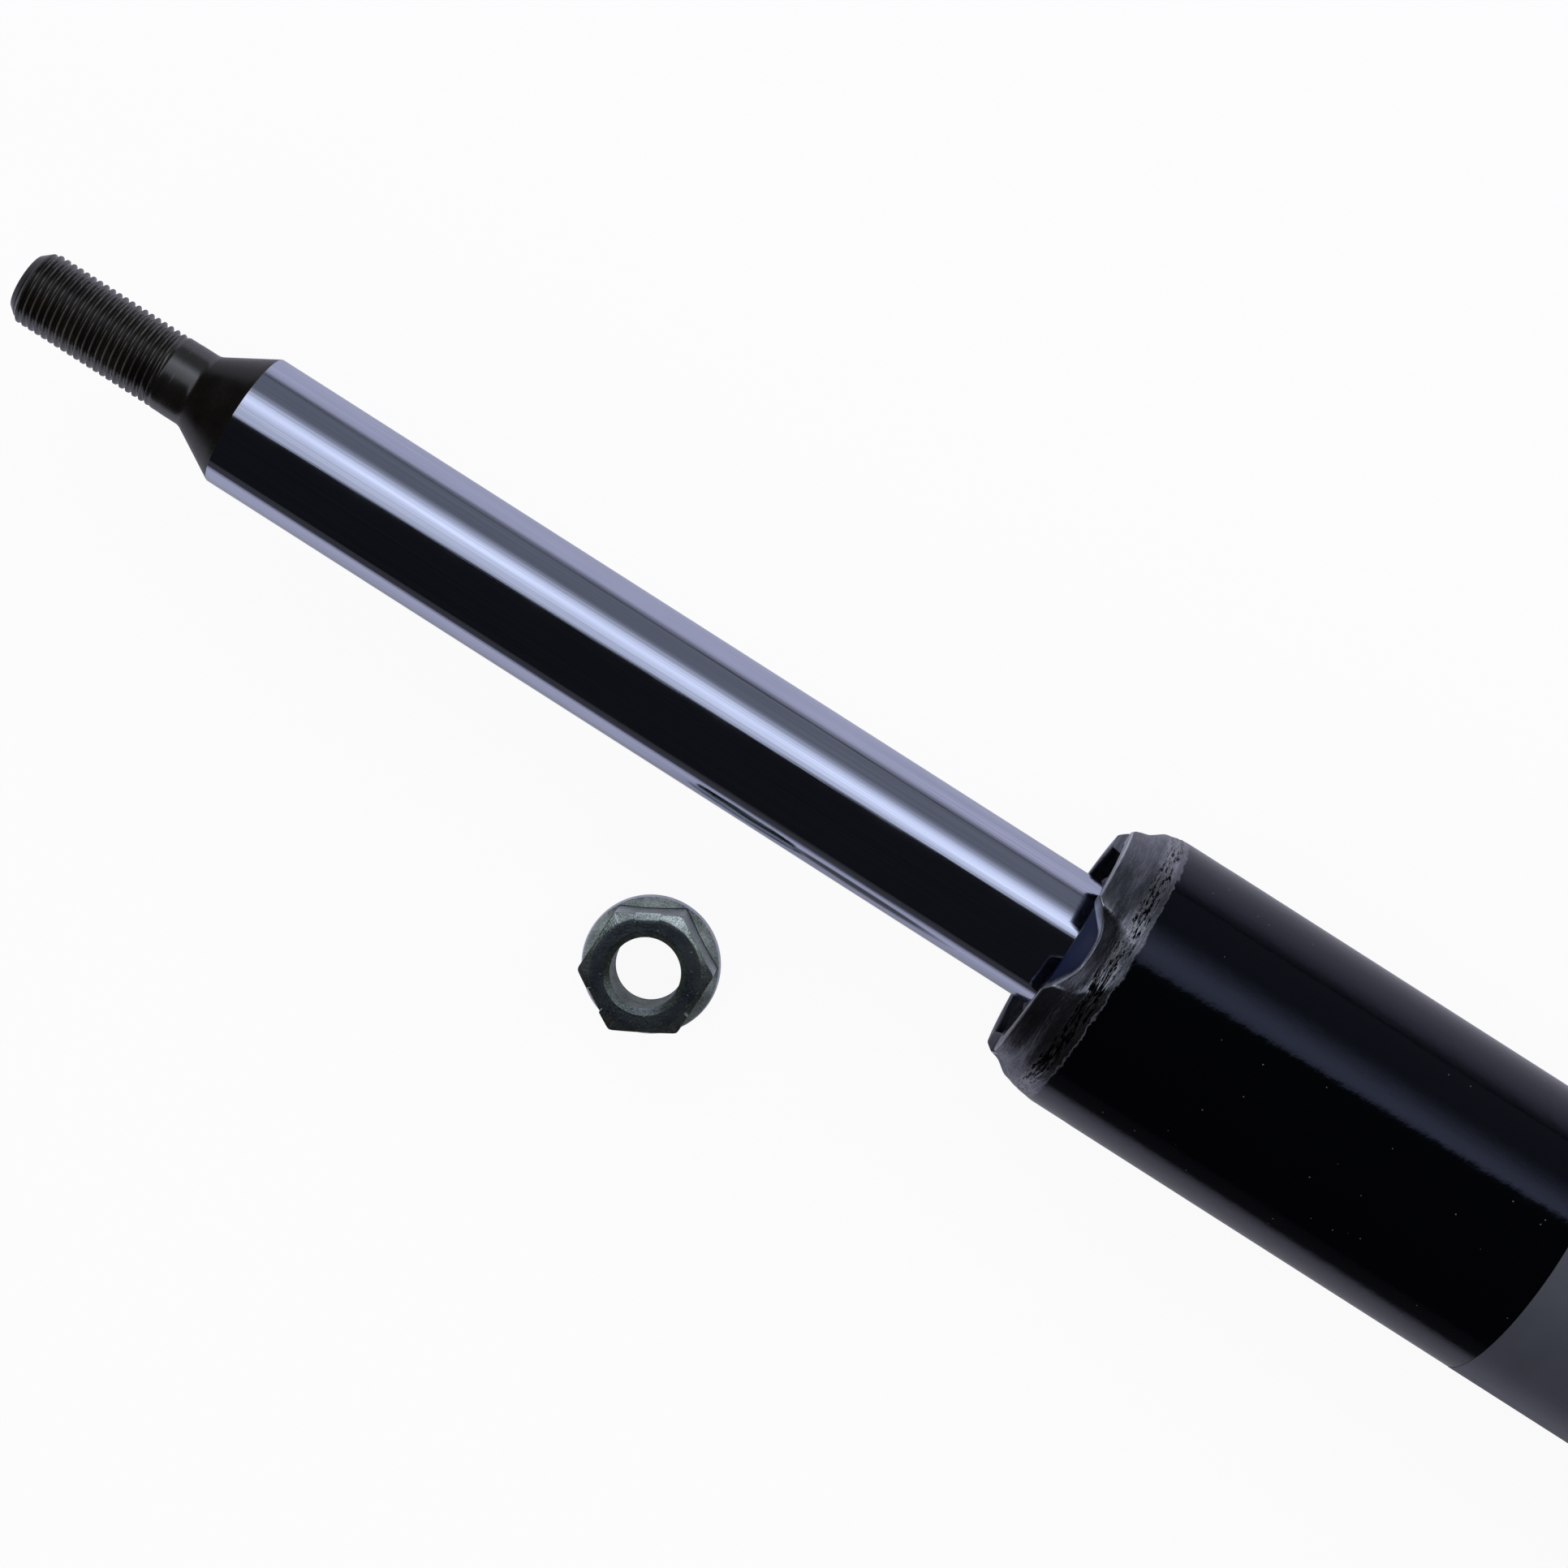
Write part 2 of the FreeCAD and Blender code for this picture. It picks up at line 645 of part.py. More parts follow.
def bracket_channel():
    """Channel between the ears: its web lies against the tube and its flanges line the ears."""
    half_gap = tube_r - bracket_sheet - seat_gap
    web_y = -(foot_r + seat_gap)
    middle = at_depth((bracket_top + bracket_foot) / 2)
    outline = [(web_y, -half_gap), (web_y - channel_reach, -half_gap),
               (web_y - channel_reach, -half_gap + channel_sheet),
               (web_y - channel_sheet, -half_gap + channel_sheet),
               (web_y - channel_sheet, half_gap - channel_sheet),
               (web_y - channel_reach, half_gap - channel_sheet),
               (web_y - channel_reach, half_gap), (web_y, half_gap)]
    corners = [FreeCAD.Vector(middle - channel_length / 2, y, z) for y, z in outline]
    channel = Part.Face(Part.makePolygon(corners + corners[:1])).extrude(axis_x * channel_length)
    bends = edges_where(channel, lambda edge: edge.BoundBox.XLength > channel_length / 2
                        and abs(edge.BoundBox.YMin - web_y) < 0.01)
    channel = channel.makeFillet(1.5 * channel_sheet, bends)
    inner_bends = edges_where(channel, lambda edge: edge.BoundBox.XLength > channel_length / 2
                              and edge.BoundBox.YLength < 0.01
                              and abs(edge.BoundBox.YMin - web_y + channel_sheet) < 0.01)
    return channel.makeFillet(0.5 * channel_sheet, inner_bends)


def bracket_welds():
    """Beads round the wrap's two edges, where the bracket joins the tube's foot."""
    sweep = 200.0
    beads = []
    for edge_depth, away in ((bracket_top, -1), (bracket_foot, 1)):
        start = edge_depth + away * seat_gap / 2
        bead = turned([(start, foot_r + seat_gap / 2), (start, foot_r + weld_leg),
                       (start + away * weld_leg, foot_r + seat_gap / 2)], sweep)
        beads.append(about_axis(bead, -sweep / 2))
    return Part.makeCompound(beads)


def hose_bracket():
    """Small bent sheet on the tube's side: a foot along the tube and an upright tab with a hole."""
    seat = tube_r + seat_gap
    back = at_depth(hose_depth)
    half = hose_width / 2
    tab = Part.makeBox(hose_sheet, hose_height, hose_width, FreeCAD.Vector(back, seat, -half))
    foot = Part.makeBox(hose_foot, hose_sheet, hose_width, FreeCAD.Vector(back, seat, -half))
    sheet = tab.fuse(foot).removeSplitter()
    inner_bend = edges_where(sheet, lambda edge: edge.BoundBox.ZLength > hose_width / 2
                             and abs(edge.BoundBox.XMin - back - hose_sheet) < 0.01
                             and abs(edge.BoundBox.YMin - seat - hose_sheet) < 0.01)
    sheet = sheet.makeFillet(hose_bend, inner_bend)
    top_corners = edges_where(sheet, lambda edge: edge.BoundBox.XLength > 0.5 * hose_sheet
                              and edge.BoundBox.XLength < 1.5 * hose_sheet
                              and abs(edge.BoundBox.YMin - seat - hose_height) < 0.01)
    sheet = sheet.makeFillet(0.4 * hose_width, top_corners)
    hole = Part.makeCylinder(hose_hole_d / 2, 4 * hose_sheet,
                             FreeCAD.Vector(back - hose_sheet, seat + hose_hole_height, 0), axis_x)
    return about_axis(sheet.cut(hole), hose_angle)


def hose_bracket_weld():
    """Two short beads along the foot's sides."""
    seat = tube_r + seat_gap
    start = at_depth(hose_depth) + seat_gap
    side = math.sqrt(tube_r ** 2 - (hose_width / 2) ** 2)
    beads = []
    for away in (-1, 1):
        edge_z = away * (hose_width / 2 + running_fit)
        outline = [(seat + hose_sheet / 2, edge_z), (seat - 0.2 * hose_sheet, edge_z + away * hose_weld_leg),
                   (side + running_fit, edge_z)]
        corners = [FreeCAD.Vector(start, y, z) for y, z in outline]
        bead = Part.Face(Part.makePolygon(corners + corners[:1])).extrude(axis_x * hose_foot)
        beads.append(bead.cut(ring(hose_depth - 2 * hose_foot, hose_depth + hose_foot, 0,
                                   tube_r + running_fit)))
    return about_axis(Part.makeCompound(beads), hose_angle)


def top_nut():
    """Prevailing-torque nut: hexagon with a chamfered crown, conical flange and three side dents."""
    base = FreeCAD.Vector(nut_x, nut_y, floor_z)
    prism = hexagon(nut_af, nut_height, base, axis_z)
    prism.rotate(base, axis_z, nut_turn)
    crown_top = base + axis_z * (nut_height - nut_chamfer_rise)
    corner_r = nut_af / 2 / math.cos(math.radians(30))
    slope = (corner_r + 1 - nut_face_d / 2) / (corner_r - nut_face_d / 2) * nut_chamfer_rise
    crown = Part.makeCone(corner_r + 1, nut_face_d / 2, slope, base + axis_z * (nut_height - slope), axis_z)
    below = Part.makeCylinder(corner_r + 1, nut_height - slope, base, axis_z)
    prism = prism.common(crown.fuse(below))
    edge = Part.makeCylinder(nut_flange_d / 2, nut_flange_edge, base, axis_z)
    cone = Part.makeCone(nut_flange_d / 2, nut_cone_d / 2, nut_flange_rise,
                         base + axis_z * nut_flange_edge, axis_z)
    body = prism.fuse([edge, cone])
    bore = Part.makeCylinder(nut_bore_d / 2, nut_height, base, axis_z)
    sink_depth = (nut_countersink_d - nut_bore_d) / 2
    top_sink = Part.makeCone(nut_bore_d / 2, nut_countersink_d / 2, sink_depth,
                             base + axis_z * (nut_height - sink_depth), axis_z)
    foot_sink = Part.makeCone(nut_countersink_d / 2, nut_bore_d / 2, sink_depth, base, axis_z)
    dents = []
    for i in range(3):
        dent = Part.makeBox(nut_dent_depth + 1, nut_dent_width, nut_dent_height + 1,
                            FreeCAD.Vector(nut_af / 2 - nut_dent_depth, -nut_dent_width / 2,
                                           nut_height - nut_dent_height))
        dent.rotate(centre, axis_z, nut_turn + 30 + 120 * i)
        dent.translate(base)
        dents.append(dent)
    return body.cut([bore, top_sink, foot_sink] + dents).removeSplitter()


parts = {
    "reservoir_tube": reservoir_tube, "bottom_cap": bottom_cap, "base_weld": base_weld,
    "pressure_tube": pressure_tube, "rod_guide": rod_guide, "guide_bushing": guide_bushing,
    "guide_o_ring": guide_o_ring, "rod_seal": rod_seal, "seal_insert": seal_insert,
    "garter_spring": garter_spring, "base_valve_body": base_valve_body,
    "base_valve_bolt": base_valve_bolt, "base_shims": base_shims,
    "base_check_spring": base_check_spring, "base_check_plate": base_check_plate,
    "knuckle_bracket": knuckle_bracket, "bracket_channel": bracket_channel,
    "bracket_welds": bracket_welds, "hose_bracket": hose_bracket,
    "hose_bracket_weld": hose_bracket_weld, "piston_rod": piston_rod,
    "rebound_cushion": rebound_cushion, "rebound_stop_ring": rebound_stop_ring,
    "piston_support": piston_support, "piston_check_spring": piston_check_spring,
    "piston_check_plate": piston_check_plate, "piston_body": piston_body,
    "piston_band": piston_band, "rebound_shims": rebound_shims, "shim_backing": shim_backing,
    "piston_nut": piston_nut, "top_nut": top_nut,
}

os.makedirs("parts", exist_ok=True)
for name, make in parts.items():
    make().exportStep(os.path.join("parts", name + ".step"))
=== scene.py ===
"""Looks of a suspension strut that lies on a pale floor, with its flange lock nut beside the rod."""
import math

import bpy
import numpy as np
from mathutils import Matrix, Vector


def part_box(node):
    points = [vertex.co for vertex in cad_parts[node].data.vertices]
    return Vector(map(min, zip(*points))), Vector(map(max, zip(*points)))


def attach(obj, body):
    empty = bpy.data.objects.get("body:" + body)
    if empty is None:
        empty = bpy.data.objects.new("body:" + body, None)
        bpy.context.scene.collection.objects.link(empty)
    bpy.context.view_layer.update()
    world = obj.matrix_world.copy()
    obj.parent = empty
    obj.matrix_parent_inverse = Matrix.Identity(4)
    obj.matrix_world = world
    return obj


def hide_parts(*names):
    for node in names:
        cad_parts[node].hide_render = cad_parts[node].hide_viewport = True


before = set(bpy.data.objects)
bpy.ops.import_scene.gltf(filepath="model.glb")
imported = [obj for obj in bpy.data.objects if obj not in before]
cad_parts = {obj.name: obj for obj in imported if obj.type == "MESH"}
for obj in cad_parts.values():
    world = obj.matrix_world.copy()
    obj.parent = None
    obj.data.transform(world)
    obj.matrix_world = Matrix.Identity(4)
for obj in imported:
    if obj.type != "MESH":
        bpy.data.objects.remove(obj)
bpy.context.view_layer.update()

# Sizes are millimetres, and meshes are scaled to metres when they are made
mm = 0.001

# Rod and stud
stud_r = 7.9
stud_chamfer = 2.0
stud_chamfer_length = 2.4
thread_pitch = 1.5
thread_depth = 0.9
thread_end_x = 6.6
thread_crest_cut = 0.04     # from the stud's radius down to the thread's crests
shoulder_angle = math.radians(30.0)
shoulder_fillet = 3.0
spigot_r = 8.0
spigot_chamfer = 1.0
stop_groove_depth = 1.0

# Reservoir tube; depths run down from its rim
tube_wall = 2.5
neck_reduction = 2.9
neck_length = 10.0
neck_radius = 11.5
crimp_count = 4
crimp_push = 5.5
crimp_length = 9.2
crimp_radius = 13.0
crimp_first_angle = math.radians(7.0)
crimp_hollow = 0.9          # how far a crimp is hollowed below the lip
crimp_hollow_depth = 3.0
crimp_hollow_width = 1.9
crimp_blend = 3.2           # rounding between a crimp and the neck
notch_depth = 4.2
notch_half_width = 8.1
lip_round = 0.45
neck_ridge = 0.3            # height of a low ridge round the neck, above the paint's edge
neck_ridge_depth = 5.9
neck_dip_depth = 3.4        # a shallower dip beside the ridge
neck_ridge_width = 1.1
wrinkle_top = 6.2
wrinkle_foot = 10.9
wrinkle_top_fade = 1.2
wrinkle_foot_fade = 1.0
wrinkle_depth = 0.14
fine_foot = 20.0            # where the neck's closely set rings end
plain_top = 22.0            # where the body's wider ones begin
paint_edge = 11.2
bracket_sheet = 4.5
seat_gap = 0.1
foot_taper_length = 12.0
foot_length = 98.0

# Wiper seal
seal_hug = 0.06             # gap between the lips and the rod
seal_throat = 0.7           # gap between the seal and the rod, away from the lips

# Flange lock nut
nut_af = 24.0
nut_face_r = 11.3
nut_chamfer_rise = 1.2
nut_flange_r = 14.35
nut_flange_edge = 1.4
nut_flange_rise = 3.0
nut_cone_r = 12.5
nut_bore_r = 7.2
nut_countersink_r = 8.4
nut_turn = math.radians(29.6)
nut_dent_width = 4.9
nut_dent_depth = 1.0
nut_dent_height = 2.4
nut_thread_depth = 0.14
nut_face_round = 0.3
nut_face_shade = -0.4        # wear below zero stands for painted shade

# Foil label
label_edge_x = -309.0
label_length = 61.0
label_from = math.radians(10.0)
label_to = math.radians(112.0)
label_thickness = 0.08

# Colours that several finishes share
white = (1.0, 1.0, 1.0)
enamel_tint = (0.62, 0.66, 1.0)
enamel_ior = 1.44
# Black of the paint flecks, and painted shade in the neck's wrinkle grooves
fleck_and_shade_black = (0.003, 0.003, 0.0035)


def box_mm(node):
    low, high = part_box(node)
    return low / mm, high / mm


# Places read from the frame
rod_low, rod_high = box_mm("piston_rod")
tube_low, tube_high = box_mm("reservoir_tube")
seal_low, seal_high = box_mm("rod_seal")
stop_low, stop_high = box_mm("rebound_stop_ring")
support_high = box_mm("piston_support")[1]
nut_low, nut_high = box_mm("top_nut")
rod_r = rod_high.z
shoulder_end_x = (-shoulder_fillet * math.tan(shoulder_angle / 2)
                  - (rod_r - stud_r) / math.tan(shoulder_angle))
tube_r = tube_high.z
rim_r = tube_r - neck_reduction
rim_x = tube_high.x
tube_length = tube_high.x - tube_low.x
foot_top = tube_length - foot_length
taper_top = foot_top - foot_taper_length
foot_r = tube_r - bracket_sheet - seat_gap
floor_z = nut_low.z
nut_height = nut_high.z - nut_low.z
nut_centre = (nut_low + nut_high) / 2


def smooth_min(a, b, blend):
    """Smaller of two values, rounded where they cross."""
    overlap = np.maximum(blend - np.abs(a - b), 0) / blend
    return np.minimum(a, b) - overlap ** 2 * blend / 4


def smooth_max(a, b, blend):
    return -smooth_min(-a, -b, blend)


def step(low, high, value):
    """Smooth rise from 0 to 1 between two values."""
    share = np.clip((value - low) / (high - low), 0, 1)
    return share * share * (3 - 2 * share)


def bell(value, middle, width):
    """1 at the middle, falling to 0 on both sides."""
    return np.exp(-((value - middle) / width) ** 2)


def ripple(angle, along, seed, turns, pace, octaves=4):
    """Repeatable unevenness round a circle and along its axis, about -1 to 1, from sine waves."""
    waves = 4
    fading = 0.75               # height of an octave against the one before
    gain = 2.2                  # brings the mean of the waves to about -1 to 1
    draw = np.random.default_rng(seed)
    total = 0.0
    weight = 0.0
    for octave in range(octaves):
        share = fading ** octave
        for _ in range(waves):
            count = round(turns * 2 ** octave * draw.uniform(0.5, 1.5))
            run = pace * 2 ** octave * draw.uniform(-1.5, 1.5)
            total = total + share * np.sin(count * angle + run * along + draw.uniform(0, 2 * math.pi))
            weight += share
    return gain * total / weight


def about_x(x, radius, angle):
    """Points round the strut's axis; the angle runs from +Y towards +Z."""
    x, radius, angle = np.broadcast_arrays(x, radius, angle)
    return np.stack([x, radius * np.cos(angle), radius * np.sin(angle)], axis=-1)


def circle(count):
    return np.arange(count) * 2 * math.pi / count


def thread_tooth(along, angle):
    """Place across a thread that climbs along an axis: 0 on a crest and 1 at a root."""
    phase = (along - thread_pitch * angle / (2 * math.pi)) / thread_pitch
    return np.abs(2 * (phase % 1.0) - 1)


def add_object(name, data):
    item = bpy.data.objects.new(name, data)
    bpy.context.scene.collection.objects.link(item)
    return item


def flat_panel(name, corners, z):
    """Level panel through (x, y) corners at one height, all in metres."""
    mesh = bpy.data.meshes.new(name)
    mesh.from_pydata([(x, y, z) for x, y in corners], [], [(0, 1, 2, 3)])
    return add_object(name, mesh)


def skin(name, rings, loop=False):
    """Mesh through rings of points; loop joins the last one to the first, else the ends are capped."""
    rings = np.asarray(rings, float)
    count, around = rings.shape[:2]
    index = np.arange(count * around).reshape(count, around)
    rows = np.vstack([index, index[:1]]) if loop else index
    here, beyond = rows[:-1], rows[1:]
    quads = np.stack([here, np.roll(here, -1, axis=1), np.roll(beyond, -1, axis=1), beyond], axis=-1)
    faces = quads.reshape(-1, 4).tolist()
    if not loop:
        faces += [index[0][::-1].tolist(), index[-1].tolist()]
    points = rings.reshape(-1, 3)
    mesh = bpy.data.meshes.new(name)
    mesh.from_pydata((points * mm).tolist(), [], faces)
    mesh.update()
    corners = points[quads.reshape(-1, 4)]
    normals = np.cross(corners[:, 2] - corners[:, 0], corners[:, 3] - corners[:, 1])
    if (normals * corners.mean(axis=1)).sum() < 0:
        mesh.flip_normals()
    mesh.shade_smooth()
    return add_object(name, mesh)


def keep_creases(piece, degrees=35.0):
    """Marks the edges that turn more than this as sharp, so that shading stops there."""
    piece.data.set_sharp_from_angle(angle=math.radians(degrees))
    return piece


def paint(piece, name, values):
    """Stores one number for each point of a mesh, for its material to read."""
    layer = piece.data.attributes.new(name, "FLOAT", "POINT")
    layer.data.foreach_set("value", np.asarray(values, np.float32).ravel())


# Shader helpers

class Nodes:
    """Short ways to add nodes to a material or to the world."""

    def __init__(self, owner):
        owner.use_nodes = True
        self.owner = owner
        self.tree = owner.node_tree
        self.shader = self.tree.nodes.get("Principled BSDF")

    def put(self, socket, value):
        if isinstance(value, bpy.types.NodeSocket):
            self.tree.links.new(value, socket)
        else:
            socket.default_value = value

    def node(self, kind, inputs=(), **settings):
        """All outputs of a new node."""
        node = self.tree.nodes.new("ShaderNode" + kind)
        for key, value in settings.items():
            setattr(node, key, value)
        for key, value in dict(inputs).items():
            self.put(node.inputs[key], value)
        return node.outputs

    def add(self, kind, inputs=(), output=0, **settings):
        return self.node(kind, inputs, **settings)[output]

    def math(self, operation, a, b=0.0):
        return self.add("Math", {0: a, 1: b}, operation=operation)

    def linear(self, value, slope, start):
        return self.add("Math", {0: value, 1: slope, 2: start}, operation="MULTIPLY_ADD")

    def weighted(self, share, a, b):
        """A share of one number and the rest of another."""
        return self.linear(a, share, self.math("MULTIPLY", b, 1 - share))

    def place(self):
        return self.add("TexCoord", output="Object")

    def xyz(self, vector):
        return self.node("SeparateXYZ", {0: vector})

    def scaled(self, vector, x, y, z):
        return self.add("VectorMath", {0: vector, 1: (x, y, z)}, operation="MULTIPLY")

    def attribute(self, name):
        return self.add("Attribute", attribute_name=name, output="Fac")

    def noise(self, vector, scale, detail=3.0, roughness=0.55):
        """Cloudy noise from 0 to 1; the scale is its waves in a metre."""
        return self.add("TexNoise", {"Vector": vector, "Scale": scale, "Detail": detail,
                                     "Roughness": roughness})

    def ramp(self, value, *stops):
        """Colours or grey levels along a value; each stop is (place, colour or grey)."""
        node = self.tree.nodes.new("ShaderNodeValToRGB")
        self.put(node.inputs[0], value)
        elements = node.color_ramp.elements
        while len(elements) < len(stops):
            elements.new(0.5)
        for element, (place, colour) in zip(elements, stops):
            element.position = place
            element.color = (colour, colour, colour, 1) if isinstance(colour, float) else (*colour, 1)
        return node.outputs[0]

    def mix(self, share, a, b):
        """Blend of two colours, each a socket or three numbers."""
        a, b = [v if isinstance(v, bpy.types.NodeSocket) else (*v, 1) for v in (a, b)]
        return self.add("Mix", {0: share, 6: a, 7: b}, output=2, data_type="RGBA")

    def mix_normals(self, share, a, b):
        return self.add("Mix", {0: share, 4: a, 5: b}, output=1, data_type="VECTOR")

    def bump(self, height, distance_mm, normal=None):
        inputs = {"Height": height, "Distance": distance_mm * mm, "Strength": 1.0}
        if normal is not None:
            inputs["Normal"] = normal
        return self.add("Bump", inputs)

    def finish(self, colour, roughness, normal=None, **sockets):
        """Sets the shader; sockets are its other inputs by name, with _ for a space."""
        if not isinstance(colour, bpy.types.NodeSocket):
            colour = (*colour, 1)
        self.put(self.shader.inputs["Base Color"], colour)
        self.put(self.shader.inputs["Roughness"], roughness)
        if normal is not None:
            self.put(self.shader.inputs["Normal"], normal)
        for key, value in sockets.items():
            self.put(self.shader.inputs[key.replace("_", " ")], value)
        return self.owner

    def show(self, surface):
        """Gives the material another surface than its shader alone."""
        self.put(self.tree.nodes["Material Output"].inputs[0], surface)
        return self.owner

    def cylinder_place(self, radius):
        """Place on a cylinder about X as (along the axis, round it, 0), in metres."""
        x, y, z = self.xyz(self.place())
        angle = self.math("ARCTAN2", y, z)
        return self.add("CombineXYZ", {0: x, 1: self.math("MULTIPLY", angle, radius * mm)})


def new_material(name):
    return Nodes(bpy.data.materials.new(name))


def specks(n, vector, spacing_mm, size):
    """Grains of dust: 1 on a few small dots, else 0."""
    bare_share = 0.72
    cells = n.node("TexVoronoi", {"Vector": vector, "Scale": 1 / (spacing_mm * mm)})
    near = n.math("LESS_THAN", cells["Distance"], size)
    chosen = n.math("GREATER_THAN", n.add("SeparateColor", {0: cells["Color"]}), bare_share)
    return n.math("MULTIPLY", near, chosen)


def enamel_parts(n):
    """Colour, roughness and normal of the glossy black paint, with its orange peel and dust."""
    place = n.place()
    peel = n.noise(place, 380.0, 3.0)
    pits = n.noise(place, 1700.0, 2.0)
    haze = n.noise(place, 26.0, 4.0)
    dust = specks(n, place, spacing_mm=2.4, size=0.06)
    colour = n.mix(dust, (0.0008, 0.001, 0.0014), (0.09, 0.09, 0.1))
    roughness = n.linear(haze, 0.08, 0.045)
    return colour, roughness, n.bump(pits, 0.004, n.bump(peel, 0.03))


def black_enamel():
    n = new_material("black_enamel")
    return n.finish(*enamel_parts(n), IOR=enamel_ior, Specular_Tint=(*enamel_tint, 1))


def tube_paint():
    """Glossy enamel on the tube, and a scuffed satin neck above a ragged paint edge."""
    n = new_material("tube_paint")
    colour, roughness, normal = enamel_parts(n)
    spot = n.cylinder_place(tube_r)

    def drawn_out(share, scale, detail, rough=0.55):
        """Noise whose waves are drawn out round the tube."""
        return n.noise(n.scaled(spot, 1.0, share, 1.0), scale, detail, rough)

    streaks = drawn_out(0.09, 2600.0, 3.0, 0.7)
    patches = drawn_out(0.35, 160.0, 4.0)
    scratches = drawn_out(0.04, 5200.0, 2.0, 0.8)
    ragged = drawn_out(0.5, 480.0, 5.0, 0.7)
    fibres = drawn_out(0.17, 1900.0, 4.0, 0.72)
    wear = n.attribute("wear")
    fold_depth = n.attribute("fold_depth")

    edge_waver, edge_blur = 3.0, 0.5
    depth = n.math("SUBTRACT", rim_x * mm, n.xyz(spot)[0])
    edge = n.linear(ragged, edge_waver * mm, (paint_edge - edge_waver / 2) * mm)
    painted = n.ramp(n.linear(n.math("SUBTRACT", depth, edge), 1 / (edge_blur * mm), 0.5),
                     (0.0, 0.0), (1.0, 1.0))

    neck = n.ramp(n.weighted(0.55, streaks, patches), (0.32, (0.085, 0.088, 0.105)),
                  (0.5, (0.16, 0.165, 0.19)), (0.66, (0.28, 0.29, 0.325)))
    bright = n.math("MULTIPLY", n.ramp(scratches, (0.64, 0.0), (0.7, 1.0)), 0.5)
    neck = n.mix(bright, neck, (0.45, 0.45, 0.5))
    # Painted shade and highlight that follow the wrinkles: lighter on the raised folds, near black in
    # the deeper grooves
    fold_shade = n.linear(streaks, 0.35, fold_depth)
    neck = n.mix(n.ramp(fold_shade, (0.42, 0.85), (0.56, 0.0)), neck, (0.34, 0.34, 0.37))
    neck = n.mix(n.ramp(fold_shade, (0.84, 0.0), (0.96, 1.0)), neck, fleck_and_shade_black)
    span = 16.0
    torn_band = n.ramp(n.math("MULTIPLY", depth, 1 / (span * mm)), (wrinkle_top / span, 0.0),
                       ((wrinkle_top + wrinkle_top_fade) / span, 1.0),
                       ((wrinkle_foot - wrinkle_foot_fade) / span, 1.0), (wrinkle_foot / span, 0.0))
    flecks = n.linear(torn_band, 0.3, n.linear(patches, 0.42, n.math("SUBTRACT", fibres, 0.51)))
    fleck_rims = n.ramp(flecks, (0.44, 0.0), (0.49, 0.6), (0.52, 0.6), (0.54, 0.0))
    neck = n.mix(fleck_rims, neck, (0.42, 0.42, 0.45))
    neck = n.mix(n.ramp(flecks, (0.54, 0.0), (0.57, 1.0)), neck, fleck_and_shade_black)
    rubbed = n.ramp(n.linear(streaks, 0.4, wear), (0.78, 0.0), (1.0, 1.0))
    neck = n.mix(rubbed, neck, (0.62, 0.63, 0.68))
    neck_rough = n.linear(streaks, 0.2, 0.13)
    neck_normal = n.bump(scratches, 0.02, n.bump(streaks, 0.03, n.bump(flecks, 0.12)))

    return n.finish(n.mix(painted, neck, colour),
                    n.linear(painted, n.math("SUBTRACT", roughness, neck_rough), neck_rough),
                    n.mix_normals(painted, neck_normal, normal), IOR=enamel_ior,
                    Specular_Tint=n.mix(painted, white, enamel_tint),
                    Metallic=n.linear(painted, -0.98, 0.98))


def hard_chrome():
    """Ground and polished chrome: fine lines along the rod and a few wiped marks."""
    n = new_material("hard_chrome")
    spot = n.cylinder_place(rod_r)
    lines = n.noise(n.scaled(spot, 0.004, 1.0, 1.0), 2400.0, 2.0)
    grain = n.noise(n.scaled(spot, 1.0, 0.05, 1.0), 6000.0, 1.0)
    strokes = n.noise(n.scaled(spot, 0.02, 1.0, 1.0), 900.0, 4.0, 0.7)
    marks = n.noise(spot, 60.0, 5.0, 0.6)
    colour = n.ramp(marks, (0.3, (0.56, 0.59, 0.745)), (0.7, (0.60, 0.625, 0.785)))
    colour = n.mix(n.ramp(lines, (0.3, 0.5), (0.44, 0.0)), colour, (0.38, 0.41, 0.54))
    colour = n.mix(n.ramp(lines, (0.55, 0.0), (0.68, 0.6)), colour, (0.80, 0.82, 0.94))
    normal = n.bump(grain, 0.0012, n.bump(lines, 0.006, n.bump(strokes, 0.009)))
    return n.finish(colour, n.linear(marks, 0.10, 0.03), normal, Metallic=1.0)


def phosphate():
    """Dark phosphated steel of the stud and the shoulder, a little brown, with oily patches and a
    painted highlight along the thread crests.
    """
    n = new_material("phosphate")
    place = n.place()
    grain = n.noise(place, 2600.0, 3.0, 0.7)
    patches = n.noise(place, 130.0, 5.0, 0.6)
    colour = n.ramp(patches, (0.3, (0.0035, 0.003, 0.0026)), (0.6, (0.006, 0.005, 0.0042)),
                    (0.78, (0.016, 0.014, 0.011)))
    # Painted highlight: a lighter brownish grey along the thread crests, patchy
    rubbed = n.math("MULTIPLY", n.attribute("crest"), n.ramp(patches, (0.35, 0.25), (0.6, 1.0)))
    colour = n.mix(rubbed, colour, (0.085, 0.074, 0.062))
    roughness = n.linear(grain, 0.16, n.linear(patches, 0.3, 0.02))
    return n.finish(colour, roughness, n.bump(grain, 0.006), IOR=1.95,
                    Specular_IOR_Level=n.linear(n.attribute("dull"), -0.38, 0.5))


